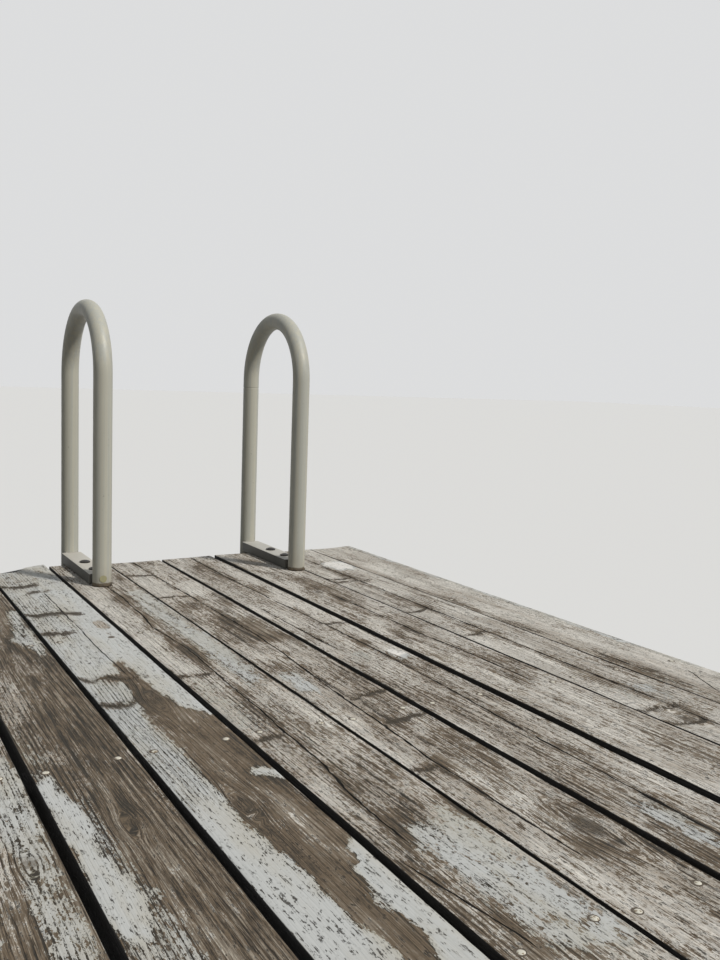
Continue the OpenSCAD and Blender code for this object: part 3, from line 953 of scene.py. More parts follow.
def lay_board(bm, layers, number, look, fine):
    """A deck board as a rod whose rings follow the worn section, with its splits and tears cut in."""
    left, right = board_edges(number)
    width, middle = right - left, (left + right) / 2
    seed = number * 1.37
    pick = random.Random(number)
    lean, cup, drop = pick.uniform(-0.0008, 0.0008), pick.uniform(0.0, 0.0012), pick.uniform(0.0004, 0.0020)
    near_ends = [(left, pick.uniform(0, 0.005)), (right, pick.uniform(0, 0.005))]
    if number in ladder_boards:
        lean, cup, drop = 0.0, 0.0, 0.0002
    breaks = look.get("breaks", [])
    stations, break_rows = board_stations(breaks, fine)
    lanes, usual = choose_lanes(look["splits"], left, right)
    heart_x, heart_depth, heart_lean = look["heart"]
    fineness = look.get("fineness", 1.0)
    arc = [(math.cos(a), math.sin(a)) for a in (math.radians(60), math.radians(30))]
    columns = top_columns + 2 * len(arc) + 6
    rings = start_rod(bm, columns, len(stations))
    for row, y in enumerate(stations):
        edge = 0.0013 + 0.0005 * wander(seed * 3, y * 7, 0)
        sides = []
        for side in (0, 1):
            wave = 0.0008 * wander(seed, y * 6, side) + 0.0005 * wander(seed, y * 38, side + 2)
            chip = 0.0030 * max(0, wander(seed, y * 19, side + 5) - 0.30)
            sides.append((0.0008 + wave * 0.6, chip))
        left_here, right_here = board_edges(number, y)
        x_left, x_right = left_here + sides[0][0], right_here - sides[1][0]
        first, last = x_left + edge + sides[0][1], x_right - edge - sides[1][1]
        anchors, depths = [], []
        for lane, place in zip(lanes, usual):
            depth = 0.0
            if lane:
                jitter = 0.0026 * wander(seed, y * 9, 7) + 0.0022 * wander(seed, y * 83, 8)
                place = between(lane, y)[0] + jitter
                inside = min(lane[0][0] - y, y - lane[-1][0])
                wave = 0.70 + 0.5 * wander(seed, y * 11, 9) + 0.6 * wander(seed, y * 37, 10)
                depth = max(0.0, min(1.0, inside / 0.06 + 0.3)) * max(0.08, wave)
                depth *= look.get("split_share", 1.0)
            anchors.append(place)
            depths.append(depth)
        lip_wave = 1.0 + 0.9 * wander(seed, y * 33, 12)
        lips = [split_lip * (0.3 + 1.0 * depth) * lip_wave for depth in depths]
        ladder = [(0, first), (top_columns - 1, last)]
        for column, anchor, half in zip(split_columns, anchors, lips):
            ladder += [(column - 1, anchor - half), (column, anchor), (column + 1, anchor + half)]
        ladder.sort()
        round_off = 0.0035 * max(0.0, 1 - min(y + board_length, -y) / 0.006) ** 2
        section = []
        for column in range(top_columns):
            x = between(ladder, column)[0]
            share = (x - middle) / (width / 2)
            z = -drop - cup * (1 - share * share) + lean * share - round_off
            z += 0.0005 * wander(x * 40, y * 9, seed) - (0 if number in ladder_boards else 0.0002)
            crack = 0.0
            if column in split_columns:
                crack = depths[split_columns.index(column)]
                z -= split_depth * crack
            section.append((x, z, crack))
        top_right, top_left = section[-1][1], section[0][1]
        for out, up in arc:
            section.append((last + out * (edge + sides[1][1]), top_right - edge + up * edge, 0.0))
        under = -board_thickness
        section += [(x_right, top_right - edge, 0.0), (x_right, under + under_edge, 0.0)]
        section += [(x_right - under_edge, under, 0.0), (x_left + under_edge, under, 0.0)]
        section += [(x_left, under + under_edge, 0.0), (x_left, top_left - edge, 0.0)]
        for out, up in reversed(arc):
            section.append((first - out * (edge + sides[0][1]), top_left - edge + up * edge, 0.0))

        for column, (v, (x, z, crack)) in enumerate(zip(rings[row], section)):
            near_end = min(y + board_length, -y)
            x += math.copysign(min(end_inset(near_end), abs(x - middle)), middle - x)
            y_here, near_tear, tear = y, far_off, 0.0
            for points, row_y in zip(breaks, break_rows):
                off = abs(y - row_y)
                if off > tear_reach:
                    continue
                bend = between(points, x)[0] - row_y
                bend += 0.0090 * wander(x * 55, row_y * 50, seed) + 0.0080 * wander(x * 150, row_y, seed)
                y_here += bend * (1 - off / tear_reach)
                inside = min(x - points[0][0], points[-1][0] - x)
                deep = max(0.0, min(1.0, (inside + 0.010) / 0.014))
                if deep > 0:
                    near_tear = min(near_tear, off + 0.02 * (1 - deep))
                if column < top_columns:
                    z -= tear_depth * deep * max(0.0, 1 - off / 0.004)
                    rough = 0.78 + 0.9 * wander(x * 60, row_y * 30, seed + 4)
                    tear = max(tear, deep * rough * max(0.0, 1 - off / look.get("tear_width", 0.011)))
            shift = between(look["end"], x)[0] * max(0.0, 1 + y / 0.25)
            shift += between(near_ends, x)[0] * max(0.0, 1 - (y + board_length) / 0.2)
            ragged = 0.0016 * wander(x * 120, seed, z * 90) if near_end < 0.004 else 0.0
            y_here += shift + ragged
            near_split = far_off
            for anchor, depth in zip(anchors, depths):
                if depth > 0.05:
                    near_split = min(near_split, abs(x - anchor) + 0.01 * (1 - min(1, depth)))
            knot_near, part = far_off, 0.0
            for knot_x, knot_y, radius in look["knots"]:
                away = math.hypot(x - knot_x, (y_here - knot_y) * 0.6)
                knot_near = min(knot_near, max(0.0, away - radius + 0.012))
                part += math.copysign(radius * math.exp(-(away / (2.6 * radius)) ** 2), x - knot_x)
            levels = board_wear(look, x, y_here, seed, near_split, near_tear)
            bow = drift(seed, y_here * 1.4, 11)
            heart = (heart_x + bow.x * 0.012, -heart_depth - heart_lean * (y_here + 1.5) + bow.y * 0.006)
            across = x - middle - heart[0] - part
            v[layers["grain_at"]] = (across * fineness, y_here, (z - heart[1]) * fineness)
            v[layers["wear"]] = levels[:3]
            v[layers["marks"]] = (crack, knot_near, levels[3])
            v[layers["seed"]] = seed
            v[layers["tear"]] = tear
            v.co = deck_corner + Vector((x, y_here, z))


def make_paint_group():
    """Where old paint still holds: in sheets with torn edges, lifted first from washed-out rings."""
    inputs = {"Place": "Vector"} | floats("Cover", "Smooth", "Valley", "Fibre", "Fleck")
    tree, given, out = shader_group("peeling_paint", inputs, floats("Paint", "Torn", "Edge", "Rim", "Chips"))
    place, rough_part = given["Place"], 1.0 - given["Smooth"]
    torn = streaks(place, (70, 30, 70), 6, 0.72)
    level = given["Cover"] + (torn * 1.3 - 0.65) + (given["Fibre"] * 0.12 - 0.06)
    level += (given["Fleck"] - 0.5) * (rough_part * 0.30 + 0.30)
    level -= given["Valley"] * rough_part * 0.42
    paint = fade(level, 0.488, 0.520)
    bare = 1.0 - paint
    chips = streaks(place, (145, 23, 145), 2, 0.5) + streaks(place, (90, 2.5, 90), 1, 0.5) * 0.50
    chips = fade(chips - torn * 0.30, 0.870, 0.890)
    set_inputs(out, {
        "Paint": paint * (1.0 - chips),
        "Torn": torn,
        "Edge": fade(level, 0.30, 0.46) * bare,
        "Rim": fade(level, 0.425, 0.470) * bare,
        "Chips": chips,
    })
    return tree


peeling_paint = make_paint_group()

hollow_dark = (0.030, 0.024, 0.015, 1)
bare_brown = (0.126, 0.092, 0.058, 1)
dry_taupe = (0.240, 0.202, 0.155, 1)
silver_fibre = (0.47, 0.43, 0.355, 1)
residue_pale = (0.670, 0.642, 0.588, 1)
residue_dull = (0.365, 0.320, 0.264, 1)
undercoat = (0.46, 0.42, 0.31, 1)
paint_clean = (0.480, 0.488, 0.474, 1)
paint_soiled = (0.450, 0.436, 0.388, 1)
paint_bright = (0.76, 0.735, 0.69, 1)
# Near black for the insides of splits, and for the painted shade on the walls of the joints
split_black_and_joint_shade = (0.010, 0.008, 0.006, 1)


def make_deck_material():
    """Weathered boards with residue in the grain and old paint over it."""
    material, tree, shader = new_material("deck_timber")
    cover, residue, stain = parts(attribute(tree, "wear", "Vector"))
    crack, knot, smooth = parts(attribute(tree, "marks", "Vector"))
    tear = attribute(tree, "tear", "Fac")
    across, _, height = parts(result(tree, "TexCoord", "Object"))
    grain = use_group(tree, timber_grain, {"Ring Width": 0.0066})
    fibre, strand, fleck, valley = (grain[name] for name in ("Fibre", "Strand", "Fleck", "Valley"))
    tone, cloud = grain["Tone"], grain["Cloud"]
    painted = use_group(tree, peeling_paint, {
        "Place": grain["Place"], "Cover": cover, "Smooth": smooth,
        "Valley": valley, "Fibre": fibre, "Fleck": fleck})
    paint, torn = painted["Paint"], painted["Torn"]
    rough_part = 1.0 - smooth
    speck = (fleck - 0.5) * (rough_part * 0.60 + 0.40)

    # Bare wood, from the dark between the fibres to silver on top of them
    lively = rough_part * 0.62 + 0.38
    light = (fibre * 0.40 + strand * 0.34 - 0.37) * lively
    light += tone * 0.22 + speck * 0.26 + stain * 0.40 + residue * 0.18 + cloud * 0.90 - 0.17
    light -= valley * (rough_part * 0.24 + 0.04) + valley * cover * 0.30
    light += grain["Ridge"] * (rough_part * 0.13 + 0.01)
    light -= painted["Edge"] * cover * 0.24 + painted["Chips"] * 0.35
    colour = blend(fade(light, 0.00, 0.32), hollow_dark, bare_brown)
    colour = blend(fade(light, 0.30, 0.64), colour, dry_taupe)
    colour = blend(fade(light, 0.62, 1.00), colour, silver_fibre)

    # Pale residue clings in streaks and flecks, and thins out over knots
    left_over = residue + speck * 1.10 + cloud * 1.3 + torn * 1.5 - 1.40
    left_over += fibre * 0.46 + strand * 0.60 - 0.53
    left_over -= valley * (rough_part * 0.26 + 0.06)
    pale = tone * 0.45 + speck * 0.60 + stain * 0.5 + 0.30
    pale = blend(fade(pale, 0.12, 0.95), residue_dull, residue_pale)
    colour = blend(fade(left_over, 0.46, 0.64) * 0.92, colour, pale)
    heart = fade(fleck * 0.005 + knot, 0.020, 0.011)
    colour = blend(heart * 0.85, colour, blend(strand, hollow_dark, bare_brown))
    colour = blend(grain["Specks"] * 0.70, colour, bare_brown)

    # Paint, with a cream undercoat showing along its torn edges
    rim = painted["Rim"] * fade(tone, 0.25, 0.75)
    colour = blend(rim * 0.75, colour, undercoat)
    soiled = tone * 0.7 + speck * 0.45 - stain * 0.6 - cover * 1.3 + 1.42
    coat = blend(fade(soiled, 0.35, 1.25), paint_clean, paint_soiled)
    coat = blend(fade(stain, 0.6, 1.1), coat, paint_bright)
    colour = blend(paint * (1.0 - heart * 0.7), colour, coat)

    # Grooves, splits and torn fibres hold the dark
    bared = (1.0 - paint * (smooth * 0.5 + 0.45)) * lively
    shade = (fibre * 0.40 + strand * 0.42 - 0.56) * bared + 1.0
    dim = result(tree, "VectorMath", 0, {0: colour, "Scale": shade}, operation="SCALE")
    brown = fade(tear - torn * 1.6 - fleck * 0.4 + 1.0, 0.20, 0.34) * fade(tear, 0.01, 0.06)
    dim = blend(brown * 0.75, dim, bare_brown)
    torn_edge = crack + strand * 0.50 + fleck * 0.85 - 0.72
    frayed = tear - strand * 0.80 - fleck * 0.65 - torn * 1.5 + 1.57
    ragged = fade(frayed, 0.50, 0.57) * fade(tear, 0.04, 0.12)
    splits = calc("MAXIMUM", fade(torn_edge, 0.30, 0.56), grain["Checks"] * bared * 0.90)
    splits = calc("MAXIMUM", splits, ragged * 0.96)
    inside = blend(fade(crack, 0.45, 0.90), hollow_dark, split_black_and_joint_shade)
    colour = blend(splits * 0.94, dim, inside)

    # The walls of the joints are darkened to black, partly dirt and partly painted shade, but not the outer
    # faces of the end boards
    facing = abs(parts(result(tree, "NewGeometry", "Normal"))[0])
    low_wall_shade = fade(height, deck_high.z - 0.0026, deck_high.z - 0.0044) * fade(facing, 0.1, 0.3)
    from_end = calc("MINIMUM", deck_high.x - across, across - deck_low.x)
    side = calc("MAXIMUM", low_wall_shade, fade(facing, 0.42, 0.66)) * fade(from_end, 0.004, 0.010)
    colour = blend(side * 0.97, colour, split_black_and_joint_shade)
    relief = (fibre * 0.5 + strand * 0.35 - valley * 0.8) * (bared * 0.8 + 0.2)
    relief += paint * 0.5 - splits * 1.6
    roughness = paint * -0.26 + 0.90
    set_inputs(shader, {"Base Color": colour, "Roughness": roughness, "Normal": bump(relief, 1.0)})
    return material


deck_material = make_deck_material()
usual_pick = random.Random(7)
board_looks = {n: seen_boards.get(n) or usual_board(n, usual_pick) for n in range(1, 3 * boards_per_bay + 1)}
deck_trees = {}
for bay in (3, 2, 1):
    bm, layers = start_timber()
    for number in range((3 - bay) * boards_per_bay + 1, (4 - bay) * boards_per_bay + 1):
        lay_board(bm, layers, number, board_looks[number], number in seen_boards)
    deck_trees[bay] = BVHTree.FromBMesh(bm)
    settle(new_piece(f"worn_boards_{bay}", bm, deck_material, 35), f"deck_boards_{bay}")


# Nails
# Two round-headed nails hold each board to each joist and rim. Paint still covers the heads, and a dark disc
# round each, set off to the side away from the sun, is partly dirt gathered in the dent and partly painted
# shade.
nail_in = 0.023
nail_probe_height = 0.05
# The dark disc is set off to the side away from the sun, as painted shade in the dent
dent_shade_shift = (-0.0008, 0.0004, -0.00035)
deep_row = 1
deep_row_depth = 0.0006
head_radius = 0.0052
head_rise = 0.0016
dent_radius = 0.0068


def spotted_material(name, scale, detail, colour, patches, rough, rough_gain=0.0, relief=0.0,
                     strength=0.5, metallic=0.0, noise_rough=0.5):
    """One colour with patches of others, each (from, to, colour) in the levels of one noise."""
    material, tree, shader = new_material(name)
    level = uneven(result(tree, "TexCoord", "Object"), scale, detail, noise_rough)
    for low, high, patch in patches:
        colour = blend(fade(level, low, high), colour, patch)
    roughness = level * rough_gain + rough if rough_gain else rough
    set_inputs(shader, {"Base Color": colour, "Roughness": roughness, "Metallic": metallic})
    if relief:
        set_inputs(shader, {"Normal": bump(level, strength, relief)})
    return material


nail_material = spotted_material(
    "painted_nail", 320, 2, (0.60, 0.575, 0.49, 1), [(0.54, 0.64, (0.24, 0.185, 0.12, 1))], 0.6)
# Dark colour of the dent disc: dirt and painted shade
dent_shade_material, dent_tree, dent_shader = new_material("nail_dent_shade")
dent_spots = uneven(result(dent_tree, "TexCoord", "Object"), 500, 2)
dent_shade_colour = blend(dent_spots, (0.035, 0.026, 0.018, 1), (0.16, 0.13, 0.10, 1))
set_inputs(dent_shader, {"Base Color": dent_shade_colour, "Roughness": 0.95})


def ring_edges(verts):
    """The edges that join the vertices of one ring."""
    inside = set(verts)
    return [e for e in edges_of(verts) if inside.issuperset(e.verts)]


def add_dome(bm, radius, rise, segments=10):
    """A shallow closed dome as a stack of narrowing rings, with a short skirt below."""
    rings = []
    for share, height in ((1.0, -0.6), (0.96, 0.25), (0.72, 0.75), (0.38, 0.96)):
        ring = bmesh.ops.create_circle(bm, segments=segments, radius=radius * share)["verts"]
        bmesh.ops.translate(bm, verts=ring, vec=(0, 0, rise * height))
        rings.append(ring)
    for first, second in zip(rings, rings[1:]):
        bmesh.ops.bridge_loops(bm, edges=ring_edges(first) + ring_edges(second))
    bmesh.ops.contextual_create(bm, geom=rings[-1])
    bmesh.ops.contextual_create(bm, geom=rings[0])


nail_rows = []
for node in ("rim_ladder_side", *joist_names, "rim_open_side"):
    low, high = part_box(node)
    nail_rows.append((low.y + high.y) / 2 - deck_corner.y)
head_pattern = bmesh.new()
add_dome(head_pattern, head_radius, head_rise)
dent_pattern = bmesh.new()
bmesh.ops.create_cone(dent_pattern, cap_ends=True, segments=10,
                      radius1=dent_radius, radius2=dent_radius, depth=0.001)


def scatter(pattern, places, name, material, node=None):
    """One joined piece with a copy of the pattern at each place."""
    flat = bpy.data.meshes.new(name + "_pattern")
    pattern.to_mesh(flat)
    pattern.free()
    bm = bmesh.new()
    for place in places:
        known = len(bm.verts)
        bm.from_mesh(flat)
        bm.verts.ensure_lookup_table()
        bmesh.ops.transform(bm, matrix=place, verts=bm.verts[known:])
    bpy.data.meshes.remove(flat)
    settle(new_piece(name, bm, material, 60), node)


nail_pick = random.Random(3)
head_places, dent_places = [], []
for number in range(1, 3 * boards_per_bay + 1):
    left, right = board_edges(number)
    for row_y in nail_rows:
        for x in (left + nail_in, right - nail_in):
            nail_x = x + nail_pick.uniform(-0.004, 0.004)
            nail_y = row_y + nail_pick.uniform(-0.006, 0.006)
            spot = deck_corner + Vector((nail_x, nail_y, nail_probe_height))
            sunk = nail_pick.uniform(0.0003, 0.0009)
            if row_y == nail_rows[deep_row]:
                sunk += deep_row_depth
            struck = deck_trees[3 - (number - 1) // boards_per_bay].ray_cast(spot, Vector((0, 0, -1)))[0]
            head_places.append(Matrix.Translation(struck + Vector((0, 0, -sunk))))
            dent_places.append(Matrix.Translation(struck + Vector(dent_shade_shift)))
scatter(head_pattern, head_places, "nail_heads", nail_material)
scatter(dent_pattern, dent_places, "nail_dent_shades", dent_shade_material)


# Ladder rails
# Each rail is one aluminium tube, bent in a half turn into a hand hoop. Its front leg stands on the
# deck and its rear leg runs down outside the rim into the water. The metal is satin and dull, with
# faint drawing lines along it. The right rail's rear leg is joined below the bend, and a plug closes
# a hole near the foot of the left rail's front leg.
rail_low, rail_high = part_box("ladder_rail_left")
tube_radius = (rail_high.x - rail_low.x) / 2
bend_radius = (rail_high.y - rail_low.y) / 2 - tube_radius
tube_sides = 48
bend_steps = 44
front_y = rail_low.y + tube_radius
rear_y = rail_high.y - tube_radius
bend_z = rail_high.z - tube_radius - bend_radius
plug_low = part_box("rail_plugs")[0].z
foot_pad = 0.006
plug_thickness = 0.008
joint_height = 0.480
groove = 0.0007
side_plug_radius = 0.0085
side_plug_height = 0.020
side_plug_turn_deg = -6.5


def make_metal_group():
    """Dull marks on bare aluminium: drawing lines, chalky blooms and small dark pits."""
    outputs = floats("Lines", "Streak", "Bloom", "Pits")
    tree, given, out = shader_group("dull_metal", {"Stretch": "Vector"}, outputs)
    at = result(tree, "TexCoord", "Object")
    drawn = vector_calc("MULTIPLY", at, given["Stretch"])
    set_inputs(out, {
        "Lines": fade(uneven(drawn, 1.0, 3.0, 0.6), 0.3, 0.7),
        "Streak": fade(uneven(drawn, 0.32, 1.0), 0.38, 0.62),
        "Bloom": fade(uneven(at, 14.0, 5.0, 0.7), 0.40, 0.66),
        "Pits": fade(uneven(at, 230.0, 2.0, 0.6), 0.69, 0.75),
    })
    return tree


dull_metal = make_metal_group()


def metal_material(name, warm, cool, stretch, metallic, rough, grime_top=None, painted_side_shade=None, shine=0.5):
    """Dull aluminium between a warm and a cool grey, with grime at its foot, or with painted shade on its
    upright sides.
    """
    material, tree, shader = new_material(name)
    marks = use_group(tree, dull_metal, {"Stretch": stretch})
    lines, streak, bloom, pits = (marks[name] for name in ("Lines", "Streak", "Bloom", "Pits"))
    colour = blend(streak * 0.8, warm, cool)
    colour = blend(lines * 0.22, colour, (0.30, 0.285, 0.25, 1))
    colour = blend(pits * 0.45, colour, (0.12, 0.10, 0.075, 1))
    metal = bloom * (-0.6 * metallic) + metallic
    roughness = bloom * 0.10 + lines * 0.06 + rough
    if grime_top:
        _, depth, height = parts(result(tree, "TexCoord", "Object"))
        level = height + lines * 0.030 + bloom * 0.045 - 0.04
        near = fade(level, grime_top, grime_top - 0.085) * (streak * 0.25 + 0.35)
        colour = blend(near * 0.55, colour, (0.250, 0.200, 0.140, 1))
        metal -= near * metallic
        roughness += near * 0.3
        ring = fade(height + bloom * 0.003 + streak * 0.001, deck_high.z + 0.0115, deck_high.z + 0.0085)
        ring *= fade(depth, front_y + 0.05, front_y + 0.03)
        colour = blend(ring * 0.85, colour, (0.085, 0.060, 0.035, 1))
    # Painted shade: faces that stand upright are darkened towards a near-black colour
    if painted_side_shade:
        shaded_upright = fade(parts(result(tree, "NewGeometry", "Normal"))[2], 0.85, 0.35)
        colour = blend(shaded_upright * 0.85, colour, painted_side_shade)
        metal -= shaded_upright * metallic
        roughness += shaded_upright * 0.15
    set_inputs(shader, {
        "Base Color": colour, "Metallic": metal, "Roughness": roughness, "Specular IOR Level": shine,
        "Normal": bump(lines * 0.03 - pits * 0.08, 0.8)})
    return material


tube_material = metal_material(
    "tube_metal", warm=(0.445, 0.435, 0.365, 1), cool=(0.39, 0.40, 0.365, 1), stretch=(400, 400, 3),
    metallic=0.05, rough=0.44, grime_top=deck_high.z + 0.055, shine=0.32)


def extrude_ring(bm, edges, move, centre=None, narrow=0.0):
    """Draws a ring of edges out by a move, brings it in towards a centre, and returns the new ring."""
    out = bmesh.ops.extrude_edge_only(bm, edges=edges)["geom"]
    verts = only(bmesh.types.BMVert, out)
    bmesh.ops.translate(bm, verts=verts, vec=move)
    if narrow:
        share = 1 - narrow / tube_radius
        about = Matrix.Translation(-Vector(centre))
        bmesh.ops.scale(bm, verts=verts, vec=(share, share, 1), space=about)
    return [e for e in only(bmesh.types.BMEdge, out) if all(v in verts for v in e.verts)]


def bend_rail(side, x, joined):
    """One bent tube, from the front foot over the bend and down to the rear foot."""
    bm = bmesh.new()
    start_z = deck_high.z + foot_pad
    end_z = plug_low + plug_thickness
    ring = bmesh.ops.create_circle(bm, segments=tube_sides, radius=tube_radius)["verts"]
    bmesh.ops.translate(bm, verts=ring, vec=(x, front_y, start_z))
    edges = extrude_ring(bm, edges_of(ring), (0, 0, bend_z - start_z))
    centre = (x, front_y + bend_radius, bend_z)
    spun = bmesh.ops.spin(bm, geom=edges, cent=centre, axis=(-1, 0, 0), dvec=(0, 0, 0),
                          angle=math.pi, steps=bend_steps, use_merge=False)["geom_last"]
    edges = only(bmesh.types.BMEdge, spun)
    level = bend_z
    if joined:
        joint_z = deck_high.z + joint_height
        rear = (x, rear_y, 0)
        edges = extrude_ring(bm, edges, (0, 0, joint_z + 2 * groove - level))
        edges = extrude_ring(bm, edges, (0, 0, -groove), rear, groove)
        edges = extrude_ring(bm, edges, (0, 0, -2 * groove))
        edges = extrude_ring(bm, edges, (0, 0, -groove), rear, -groove)
        level = joint_z - 2 * groove
    extrude_ring(bm, edges, (0, 0, end_z - level))
    bmesh.ops.remove_doubles(bm, verts=bm.verts, dist=1e-6)
    settle(new_piece("hoop_rail_" + side, bm, tube_material, 30), "ladder_rail_" + side)


rail_x = {}
for side in ("left", "right"):
    low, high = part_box("ladder_rail_" + side)
    rail_x[side] = (low.x + high.x) / 2
    bend_rail(side, rail_x[side], side == "right")

# The side plug is a shallow button, pressed to the round of the tube
bm = bmesh.new()
bmesh.ops.create_circle(bm, cap_ends=True, segments=24, radius=side_plug_radius)
for inset, lift in ((0.0007, 0.0009), (0.0012, 0.0001), (0.0030, 0.0004)):
    cap = max(bm.faces, key=lambda f: len(f.verts))
    bmesh.ops.inset_region(bm, faces=[cap], thickness=inset)
    cap = max(bm.faces, key=lambda f: len(f.verts))
    bmesh.ops.translate(bm, verts=cap.verts[:], vec=(0, 0, lift))
for v in bm.verts:
    v.co.z += math.sqrt(tube_radius ** 2 - v.co.x ** 2) - 0.0003
turn = Matrix.Rotation(math.radians(side_plug_turn_deg), 4, "Z") @ Matrix.Rotation(math.pi / 2, 4, "X")
middle = Vector((rail_x["left"], front_y, deck_high.z + side_plug_height))
bmesh.ops.transform(bm, matrix=Matrix.Translation(middle) @ turn, verts=bm.verts)
plug_material = metal_material("plug_metal", warm=(0.33, 0.31, 0.17, 1), cool=(0.28, 0.27, 0.17, 1),
                               stretch=(400, 400, 3), metallic=0.05, rough=0.5, shine=0.32)
settle(new_piece("side_plug", bm, plug_material, 30))


# Base bars
# A flat aluminium bar joins the two legs of each rail on the deck. Its ends are hollowed to the round of the
# legs and welded there, its edges are slightly broken, and its upright sides carry a painted shade, much
# darker than its top.
bar_material = metal_material(
    "bar_metal", warm=(0.50, 0.475, 0.42, 1), cool=(0.44, 0.43, 0.39, 1), stretch=(30, 6, 30),
    metallic=0.10, rough=0.50, painted_side_shade=(0.056, 0.056, 0.049, 1))
bar_edge = 0.0016
cope_columns = 14
cope_radius = tube_radius + 0.00015
for side in ("left", "right"):
    low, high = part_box("base_bar_" + side)
    half = (high.x - low.x) / 2
    reach = low.y - front_y
    cope_half = math.sqrt(cope_radius ** 2 - reach ** 2)
    bm = bmesh.new()
    bmesh.ops.create_grid(bm, x_segments=cope_columns + 2, y_segments=1, size=1)
    for v in bm.verts:
        column = round((v.co.x + 1) / 2 * (cope_columns + 2))
        if column in (0, cope_columns + 2):
            x, hollow = math.copysign(half, column - 1), reach
        else:
            x = -math.cos(math.pi * (column - 1) / cope_columns) * cope_half
            hollow = math.sqrt(cope_radius ** 2 - x ** 2)
        y = front_y + hollow if v.co.y < 0 else rear_y - hollow
        v.co = (rail_x[side] + x, y, low.z)
    raised = bmesh.ops.extrude_face_region(bm, geom=bm.faces[:])["geom"]
    bmesh.ops.translate(bm, verts=only(bmesh.types.BMVert, raised), vec=(0, 0, high.z - low.z))
    outer = {v for v in bm.verts if abs(v.co.x - rail_x[side]) > half - 1e-5}
    rims = [e for e in bm.edges if outer.issuperset(e.verts)]
    bmesh.ops.bevel(bm, geom=rims, offset=bar_edge, segments=3, profile=0.5, affect="EDGES", material=-1)
    settle(new_piece("foot_bar_" + side, bm, bar_material, 30), "base_bar_" + side)


# Coach bolts
# Two domed bolts hold each base bar down through a board, with a round washer and a nut below.
# They are plain steel, brown-black with old rust.
bolt_low, bolt_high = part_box("base_bolts")
head_half = (bolt_high.x - bolt_low.x - rail_x["right"] + rail_x["left"]) / 2
head_height = bolt_high.z - high.z
head_rim = 0.0028
shank_radius = 0.00475
washer_radius = 0.0123
washer_thickness = 0.0024
nut_radius = 0.0100
nut_height = 0.0081
steel_material = spotted_material(
    "rusted_steel", 260, 4, (0.010, 0.010, 0.010, 1), [(0.42, 0.68, (0.034, 0.025, 0.019, 1))],
    0.30, rough_gain=0.35, relief=0.0006, strength=0.6)


def turn_profile(bm, points, segments):
    """A closed turned shape from the (radius, height) points of half its outline, axis first and last."""
    verts = [bmesh.ops.create_vert(bm, co=(radius, 0, height))["vert"][0] for radius, height in points]
    edges = [bm.edges.new(pair) for pair in zip(verts, verts[1:])]
    known = [v for v in bm.verts if v not in verts]
    bmesh.ops.spin(bm, geom=verts + edges, cent=(0, 0, 0), axis=(0, 0, 1), dvec=(0, 0, 0),
                   angle=math.tau, steps=segments, use_merge=True)
    fresh = [v for v in bm.verts if v not in known]
    bmesh.ops.remove_doubles(bm, verts=fresh, dist=1e-6)


def add_nut(bm, radius, height, level):
    """A six-sided nut or bolt head, its middle at a level, its corners slightly broken."""
    nut = bmesh.ops.create_cone(bm, cap_ends=True, segments=6,
                                radius1=radius, radius2=radius, depth=height)["verts"]
    bmesh.ops.translate(bm, verts=nut, vec=(0, 0, level))
    bmesh.ops.bevel(bm, geom=edges_of(nut), offset=radius * 0.05, segments=1, profile=0.5,
                    affect="EDGES", material=-1)


under_board = deck_low.z - high.z
dome_rise = head_height - head_rim
crown = (head_half ** 2 + dome_rise ** 2) / (2 * dome_rise)
dome_turn = math.asin(head_half / crown)
bolt_outline = []
for turn in (dome_turn * i / 7 for i in range(8)):
    bolt_outline.append((crown * math.sin(turn), head_height - crown + crown * math.cos(turn)))
washer_low = under_board - washer_thickness
bolt_end = bolt_low.z - high.z
bolt_outline += [(head_half, head_rim * 0.5), (head_half - 0.0009, 0.0001), (shank_radius, 0.0001),
                 (shank_radius, under_board), (washer_radius, under_board), (washer_radius, washer_low),
                 (shank_radius, washer_low), (shank_radius, bolt_end + 0.001),
                 (shank_radius - 0.001, bolt_end), (0, bolt_end)]
bolt_pattern = bmesh.new()
turn_profile(bolt_pattern, bolt_outline, 28)
add_nut(bolt_pattern, nut_radius, nut_height, washer_low - nut_height / 2 - 0.00005)
bolt_places = []
for x in rail_x.values():
    for y in (bolt_low.y + head_half, bolt_high.y - head_half):
        bolt_places.append(Matrix.Translation((x, y, high.z)))
scatter(bolt_pattern, bolt_places, "coach_bolts", steel_material, "base_bolts")


# Foot pads and plugs
# A brown rubber pad closes each front leg and bulges a little where it stands on the board. The
# rear legs end in rubber plugs.
rubber_material = spotted_material(
    "brown_rubber", 120, 4, (0.022, 0.015, 0.008, 1), [(0.38, 0.66, (0.075, 0.054, 0.028, 1))],
    0.75, relief=0.0008)
pad_steps = [(-0.0034, foot_pad + 0.004), (-0.0034, foot_pad), (0.0, foot_pad), (0.0010, foot_pad - 0.0012),
             (0.0018, 0.0028), (0.0020, 0.0012), (0.0012, 0.0001)]
pad_outline = [(tube_radius + out, height) for out, height in pad_steps]
pad_outline = [(0, foot_pad + 0.004), *pad_outline, (0, 0.0001)]
pad_pattern = bmesh.new()
turn_profile(pad_pattern, pad_outline, 32)
pad_places = [Matrix.Translation((x, front_y, deck_high.z)) for x in rail_x.values()]
scatter(pad_pattern, pad_places, "foot_pads", rubber_material, "foot_caps")
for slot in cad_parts["rail_plugs"].material_slots:
    slot.material = rubber_material


# Treads
# Four ribbed aluminium channels between the rails, hollowed at the ends and welded to the tubes.
tread_material = metal_material(
    "tread_metal", warm=(0.44, 0.43, 0.385, 1), cool=(0.37, 0.375, 0.355, 1), stretch=(8, 320, 320),
    metallic=0.30, rough=0.42)
tread_names = ("tread_1", "tread_2", "tread_3", "tread_4")
for node in tread_names:
    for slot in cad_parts[node].material_slots:
        slot.material = tread_material


